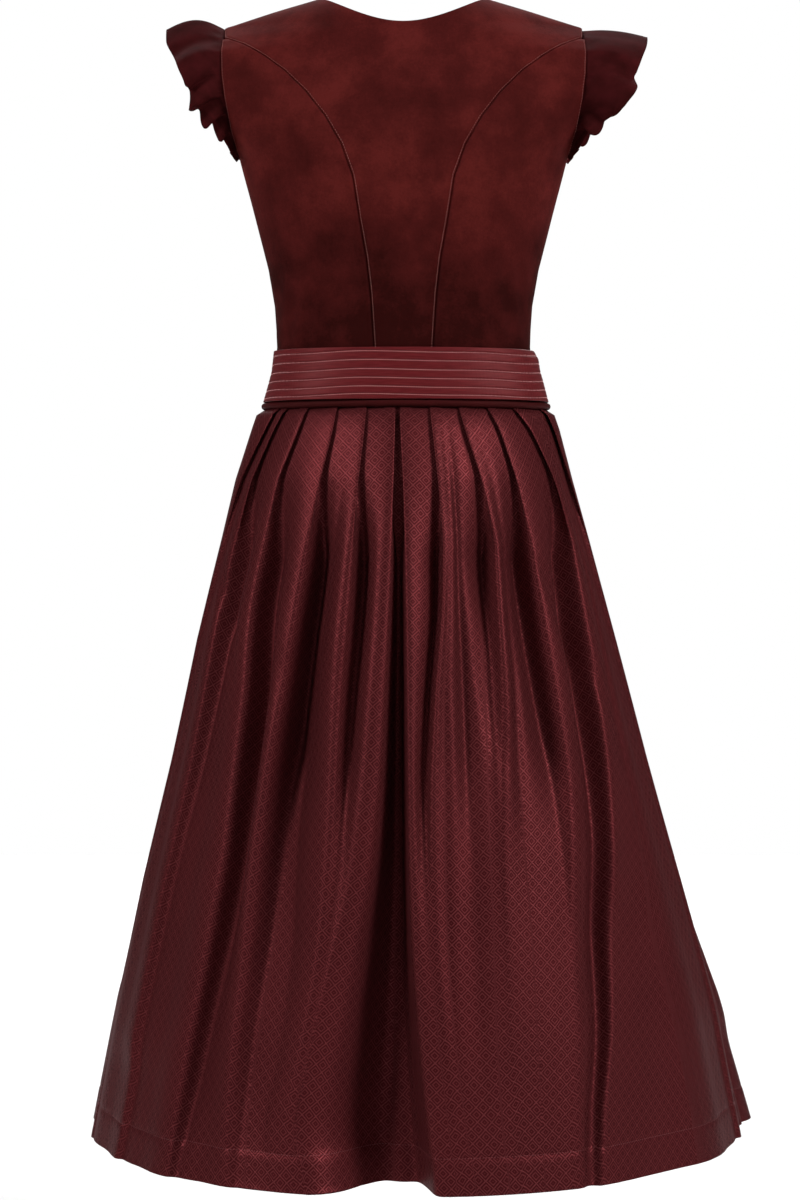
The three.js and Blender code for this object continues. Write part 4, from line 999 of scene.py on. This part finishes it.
def brushed_velour(colours):
    """Velour with a short pile: brushed patches catch the light differently, so the colour
    drifts in soft blotches some 20 to 60 mm across; painted shade darkens it towards the
    waist, where the lower back turns away from the light.  The pile itself is under 1 mm."""
    material, tree, shader = blank_material("brushed_velour")
    at = object_place(tree)
    fine = noise(tree, at, 420.0, 3.0, 0.7)
    parts = add_node(tree, "ShaderNodeSeparateXYZ", None, {0: at})
    # painted shade: the base colour is darkened towards the waist, where the lower back turns away from the
    # light
    waist = add_node(tree, "ShaderNodeMapRange", {"interpolation_type": "SMOOTHSTEP"}, {
        "Value": parts.outputs["Z"], "From Min": -0.35, "From Max": -0.17, "To Min": -0.35, "To Max": 0.0})
    # brushed holds the brushed blotches together with the painted waist shade
    brushed = calc(tree, "MULTIPLY_ADD", noise(tree, at, 8.0, 1.0), 0.4, waist.outputs[0])
    nap_and_waist_shade = calc(tree, "ADD", noise(tree, at, 22.0, 4.0, 0.6), brushed)
    set_inputs(tree, shader, {
        "Base Color": ramp(tree, calc(tree, "MULTIPLY_ADD", fine, 0.3, nap_and_waist_shade), (
            (0.45, linear("#2c0c0b")), (0.78, opaque(colours.velvet)), (1.0, linear("#591e1c")))),
        "Normal": bump(tree, fine, 0.35, 0.0008),
        "Roughness": 0.85,
        "Specular IOR Level": 0.06,
        "Specular Tint": linear("#c06058"),
        "Sheen Weight": 0.06,
        "Sheen Roughness": 0.4,
        "Sheen Tint": linear("#8a3a34"),
    })
    return material


def thin_frill_cloth(colours):
    """Thin plain-woven viscose: matt, a little darker than the velour, thread spacing drawn
    at 0.8 mm because the real 0.3 mm is too fine to show."""
    material, tree, shader = blank_material("thin_frill_cloth")
    uv = cloth_place(tree)
    warp = add_node(tree, "ShaderNodeTexWave", {"bands_direction": "X"}, {
        "Vector": uv, "Scale": 400.0, "Distortion": 1.0})
    set_inputs(tree, shader, {
        "Base Color": ramp(tree, noise(tree, uv, 45.0, 3.0), (
            (0.3, linear("#2d0d0d")), (0.75, opaque(colours.frill)))),
        "Normal": bump(tree, warp.outputs["Fac"], 0.2, 0.0003),
        "Roughness": 0.7,
        "Specular IOR Level": 0.02,
        "Specular Tint": linear("#c06a66"),
    })
    return material


def stitched_satin(colours):
    """Polyester satin: long floats give a soft streaky shine that runs along the band."""
    material, tree, shader = blank_material("stitched_satin")
    floats = add_node(tree, "ShaderNodeMapping", None, {
        "Vector": cloth_place(tree), "Scale": (60.0, 900.0, 1.0)})
    streak = noise(tree, floats.outputs[0], 1.0, 4.0)
    set_inputs(tree, shader, {
        "Base Color": ramp(tree, streak, ((0.3, linear("#4f1619")), (0.7, opaque(colours.satin)))),
        "Normal": bump(tree, streak, 0.15, 0.0004),
        "Roughness": 0.45,
        "Specular IOR Level": 0.36,
        "Specular Tint": linear("#c87070"),
    })
    return material


def satin_cord(colours):
    """Bias-cut satin over a cord: smooth and dark, with a narrow highlight."""
    material, tree, shader = blank_material("satin_cord")
    patch = noise(tree, object_place(tree), 90.0, 3.0)
    set_inputs(tree, shader, {
        "Base Color": ramp(tree, patch, ((0.0, linear("#300d0c")), (1.0, opaque(colours.piping)))),
        "Roughness": 0.6,
        "Specular IOR Level": 0.15,
        "Specular Tint": linear("#c06a66"),
    })
    return material


def lozenge_jacquard(colours):
    """Jacquard in one colour: lozenges 13.5 mm wide, each with smaller ones inside it and a dot
    in the middle, woven in floats that shine a little more than the ground.  A cosine of the
    distance to the lozenge's edge draws the rings, and the thread's noise breaks them up."""
    material, tree, shader = blank_material("lozenge_jacquard")
    uv = cloth_place(tree)
    thread, patch = noise(tree, uv, 700.0, 2.0), noise(tree, uv, 9.0, 2.0)
    parts = add_node(tree, "ShaderNodeSeparateXYZ", None, {0: uv})
    repeat, ring, strength = 1 / (LOZENGE * MM), 0.25, 0.55
    across, down = (calc(tree, "MULTIPLY", parts.outputs[axis], repeat) for axis in ("X", "Y"))
    rise = calc(tree, "PINGPONG", calc(tree, "ADD", across, down), 0.5)
    fall = calc(tree, "PINGPONG", calc(tree, "SUBTRACT", across, down), 0.5)
    inward = calc(tree, "MINIMUM", rise, fall)
    rings = calc(tree, "COSINE", calc(tree, "MULTIPLY", inward, 2 * math.pi / ring))
    line = calc(tree, "POWER", calc(tree, "MULTIPLY_ADD", rings, 0.5, 0.5), 1.8)
    weight = calc(tree, "MULTIPLY_ADD", inward, -0.9, 1.0)
    breaks = calc(tree, "MULTIPLY_ADD", thread, 1.5, 0.25)
    figure = calc(tree, "MULTIPLY", calc(tree, "MULTIPLY", line, weight), breaks)
    ground = add_node(tree, "ShaderNodeMixRGB", None, {
        "Fac": patch, "Color1": linear("#3d1316"), "Color2": opaque(colours.jacquard)})
    woven = add_node(tree, "ShaderNodeMixRGB", None, {
        "Fac": calc(tree, "MULTIPLY", figure, strength), "Color1": ground.outputs[0],
        "Color2": linear("#844042")})
    height = calc(tree, "MULTIPLY_ADD", thread, 0.5, figure)
    set_inputs(tree, shader, {
        "Base Color": woven.outputs[0],
        "Roughness": calc(tree, "MULTIPLY_ADD", figure, -0.12, 0.52),
        "Normal": bump(tree, height, 0.25, 0.0003),
        "Metallic": 0.46,
        "IOR": 1.3,
        "Specular IOR Level": 0.15,
        "Specular Tint": linear("#7a3438"),
    })
    return material


def sewing_thread(name, hex_colour):
    """Polyester sewing thread: twisted, a little shiny, lighter than the cloth it lies in."""
    material, tree, shader = blank_material(name)
    light = linear(hex_colour)
    dark = opaque(c * 0.75 for c in light[:3])
    twist = noise(tree, object_place(tree), 600.0, 1.0)
    set_inputs(tree, shader, {
        "Base Color": ramp(tree, twist, ((0.0, dark), (1.0, light))),
        "Roughness": 0.5,
    })
    return material


def colour_property(name, description, hex_colour):
    """A colour that a user may change, given as sRGB hex."""
    return FloatVectorProperty(name=name, description=description, subtype="COLOR", size=3, min=0, max=1,
                               default=linear(hex_colour)[:3])


class DressColours(bpy.types.PropertyGroup):
    """Cloth colours of the dress."""

    velvet: colour_property("Velour", "Colour of the bodice's brushed velour", "#471615")
    frill: colour_property("Frills", "Colour of the armhole frills", "#421416")
    satin: colour_property("Band", "Colour of the satin waistband", "#662023")
    piping: colour_property("Piping", "Colour of the cord in the waist seam", "#3e1214")
    jacquard: colour_property("Skirt", "Ground colour of the jacquard skirt", "#4c191c")


class DressSizes(bpy.types.PropertyGroup):
    """Sizes of the sewing and the studio that a user may change."""

    stitch_pitch: FloatProperty(name="Stitch pitch", description="Distance from one stitch to the next",
                                default=0.0028, min=0.002, unit="LENGTH")
    stitch_length: FloatProperty(name="Stitch length", description="Length of the thread seen in one stitch",
                                 default=0.0019, min=0.001, unit="LENGTH")
    cloth_wall: FloatProperty(name="Skirt cloth", description="Thickness of the skirt's cloth wall",
                              default=0.0009, min=0.0005, max=0.002, unit="LENGTH")
    camera_distance: FloatProperty(name="Camera distance", description="From the dress to the camera",
                                   default=3.1, min=1.0, unit="LENGTH")


# paths with their normals, laid down by the cloth steps for the stitching step
STITCH_PATHS = {"velvet": [], "hem": [], "band": []}


class DRESS_OT_bodice(bpy.types.Operator):
    """Seven velour panels of the bodice, with the stitch lines beside their seams"""

    bl_idname = "dress.bodice"
    bl_label = "Bodice"

    def execute(self, context):
        material = brushed_velour(context.scene.dress_colours)
        pressed = bodice_panel("bodice_back_centre", "back", back_centre_points(), material)
        centre_stitches(pressed, "back")
        for hand, word in HANDS:
            for side in ("back", "front"):
                pressed = bodice_panel(f"bodice_{side}_side_{word}", side, side_points(side, hand), material)
                armhole_stitches(pressed, hand)
            points = front_centre_points(hand)
            pressed = bodice_panel(f"bodice_front_centre_{word}", "front", points, material)
            centre_stitches(pressed, "front")
        return {"FINISHED"}


class DRESS_OT_frills(bpy.types.Operator):
    """Two gathered frills round the armholes"""

    bl_idname = "dress.frills"
    bl_label = "Frills"

    def execute(self, context):
        material = thin_frill_cloth(context.scene.dress_colours)
        sides = ((FRILL_LEFT, FOLDS_LEFT), (FRILL_RIGHT, FOLDS_RIGHT))
        for (hand, word), (rows, folds) in zip(HANDS, sides):
            points = frill_points(hand, rows, folds)
            inside = np.array([hand * 200.0, 0, -100.0])
            piece = cloth_piece(f"frill_{word}_ruffle", points, inside, FRILL_WALL,
                                material, f"frill_{word}", uv=arc_uv(points))
        return {"FINISHED"}


class DRESS_OT_waist(bpy.types.Operator):
    """The stitched satin band and the cord in the waist seam"""

    bl_idname = "dress.waist"
    bl_label = "Waistband and piping"

    def execute(self, context):
        colours = context.scene.dress_colours
        band = band_points()
        uv = arc_uv(np.concatenate([band, band[:, :1]], axis=1))
        piece = cloth_piece("waistband_satin", band, BAND_INSIDE, BAND_WALL,
                            stitched_satin(colours), "waistband", closed=(1,), uv=uv)
        STITCH_PATHS["band"].extend(band_stitches(band))
        rope = make_mesh("waist_piping_cord", piping_points(), closed=(0, 1), flip=True)
        rope.data.materials.append(satin_cord(colours))
        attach(rope, "root")
        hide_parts("waist_piping")
        return {"FINISHED"}


class DRESS_OT_skirt(bpy.types.Operator):
    """Pleated back and front skirt panels and their hem stitching"""

    bl_idname = "dress.skirt"
    bl_label = "Skirt"

    def execute(self, context):
        material = lozenge_jacquard(context.scene.dress_colours)
        wall = context.scene.dress_sizes.cloth_wall / MM
        for side in ("back", "front"):
            points, depth = skirt_points(side)
            uv = arc_uv(points, panel_centres(depth))
            piece = cloth_piece(f"skirt_{side}_cloth", points, SKIRT_INSIDE, wall,
                                material, f"skirt_{side}", uv=uv)
            row = int(np.argmin(np.abs(points[:, 0, 2] - HEM_LINE_Z)))
            path, normal = points[row, 3:-3], outward_normals(points, SKIRT_INSIDE)[row, 3:-3]
            STITCH_PATHS["hem"].append((path + normal * STITCH_LIFT["hem"], normal))
        return {"FINISHED"}


class DRESS_OT_stitching(bpy.types.Operator):
    """Threads along the seams, the band's lines and the hem"""

    bl_idname = "dress.stitching"
    bl_label = "Stitching"

    def execute(self, context):
        sizes = context.scene.dress_sizes
        pitch, length = sizes.stitch_pitch / MM, sizes.stitch_length / MM
        sunk_ends = 1.08
        # paths, piece, colour, slot, width in millimetres and share of the pitch
        kinds = (("velvet", "bodice_stitches", "#9a5650", "velvet", 0.6, 1.0),
                 ("band", "band_stitches", "#cf8a8a", "satin", 1.1, 0.8),
                 ("hem", "hem_stitches", "#7c3438", "jacquard", 0.6, 1.0))
        for key, name, colour, slot, width, close in kinds:
            thread = sewing_thread(f"{key}_thread", colour)
            stitch_mesh(name, STITCH_PATHS[key], pitch * close, length * sunk_ends, width, thread)
        return {"FINISHED"}


def area_light(name, place, target, size, power):
    """A soft box at a place, turned so that it looks at the target."""
    data = bpy.data.lights.new(name, "AREA")
    data.shape = "RECTANGLE"
    data.size, data.size_y = size
    data.energy = power
    lamp = new_object(name, data)
    lamp.location = place
    x, y, z = np.array(target) - np.array(place)
    lamp.rotation_euler = (math.atan2(math.hypot(x, y), -z), 0, math.atan2(y, x) - math.pi / 2)


class DRESS_OT_stage(bpy.types.Operator):
    """Camera at the photograph's angle, pale floor and soft studio light"""

    bl_idname = "dress.stage"
    bl_label = "Stage"

    def execute(self, context):
        scene = context.scene
        data = bpy.data.cameras.new("camera")
        data.sensor_width = CAMERA_SENSOR
        data.lens = CAMERA_LENS
        data.dof.use_dof = False
        data.shift_x, data.shift_y = SHIFT_PIXELS / PICTURE_HEIGHT
        camera = new_object("camera", data)
        camera.location = (0.0, -scene.dress_sizes.camera_distance, CAMERA_Z)
        camera.rotation_euler = (math.radians(90), 0, 0)
        scene.camera = camera
        mesh = bpy.data.meshes.new("floor")
        left, right, front, back = -FLOOR_HALF, FLOOR_HALF, -FLOOR_HALF, FLOOR_BACK
        corners = [(left, front), (right, front), (right, back), (left, back)]
        mesh.from_pydata([(x, y, FLOOR_Z) for x, y in corners], [], [(0, 1, 2, 3)])
        floor = new_object("floor", mesh)
        paper, tree, shader = blank_material("studio_paper")
        set_inputs(tree, shader, {"Base Color": (0.78, 0.78, 0.78, 1), "Roughness": 0.9})
        mesh.materials.append(paper)
        world = bpy.data.worlds.new("studio")
        world.use_nodes = True
        tree = world.node_tree
        way = add_node(tree, "ShaderNodeTexCoord").outputs["Generated"]
        parts = add_node(tree, "ShaderNodeSeparateXYZ", None, {0: way})
        share = add_node(tree, "ShaderNodeMapRange", None, {
            "Value": parts.outputs["Y"], "From Min": 0.93, "From Max": 0.972, "To Min": 0.06, "To Max": 1.0})
        set_inputs(tree, tree.nodes["Background"], {"Strength": share.outputs[0], "Color": (1, 1, 1, 1)})
        scene.world = world
        scene.view_settings.view_transform = "Standard"
        area_light("front_softbox", (0.5, -3.5, 1.2), (0, 0, -0.4), (1.2, 1.2), 4)
        area_light("right_softbox", (2.7, -1.6, 1.5), (0, 0, -0.3), (0.9, 1.8), 104)
        area_light("left_softbox", (-2.7, -1.6, 1.5), (0, 0, -0.3), (0.9, 1.8), 84)
        area_light("floor_light", (0.0, 4.2, 2.4), (0.0, 4.2, FLOOR_Z), (6.0, 4.4), 330)
        return {"FINISHED"}


class DRESS_PT_sidebar(bpy.types.Panel):
    """Lists the steps that build the dress"""

    bl_idname = "DRESS_PT_sidebar"
    bl_label = "Dirndl dress"
    bl_space_type = "VIEW_3D"
    bl_region_type = "UI"
    bl_category = "Dress"

    def draw(self, context):
        layout = self.layout
        for name in ("velvet", "frill", "satin", "piping", "jacquard"):
            layout.prop(context.scene.dress_colours, name)
        for name in ("stitch_pitch", "stitch_length", "cloth_wall", "camera_distance"):
            layout.prop(context.scene.dress_sizes, name)
        for step in STEPS:
            layout.operator(step.bl_idname)


STEPS = (DRESS_OT_stage, DRESS_OT_bodice, DRESS_OT_frills, DRESS_OT_waist, DRESS_OT_skirt,
         DRESS_OT_stitching)
CLASSES = (DressColours, DressSizes) + STEPS + (DRESS_PT_sidebar,)


def register():
    """Makes the add-on's classes and its settings known to Blender."""
    for cls in CLASSES:
        bpy.utils.register_class(cls)
    bpy.types.Scene.dress_colours = PointerProperty(type=DressColours)
    bpy.types.Scene.dress_sizes = PointerProperty(type=DressSizes)


def unregister():
    """Takes them away again, in the opposite order."""
    del bpy.types.Scene.dress_sizes
    del bpy.types.Scene.dress_colours
    for cls in reversed(CLASSES):
        bpy.utils.unregister_class(cls)


def main():
    """Registers the add-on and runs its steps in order."""
    register()
    bpy.ops.dress.stage()
    bpy.ops.dress.bodice()
    bpy.ops.dress.frills()
    bpy.ops.dress.waist()
    bpy.ops.dress.skirt()
    bpy.ops.dress.stitching()
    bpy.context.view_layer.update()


if __name__ == "__main__":
    main()
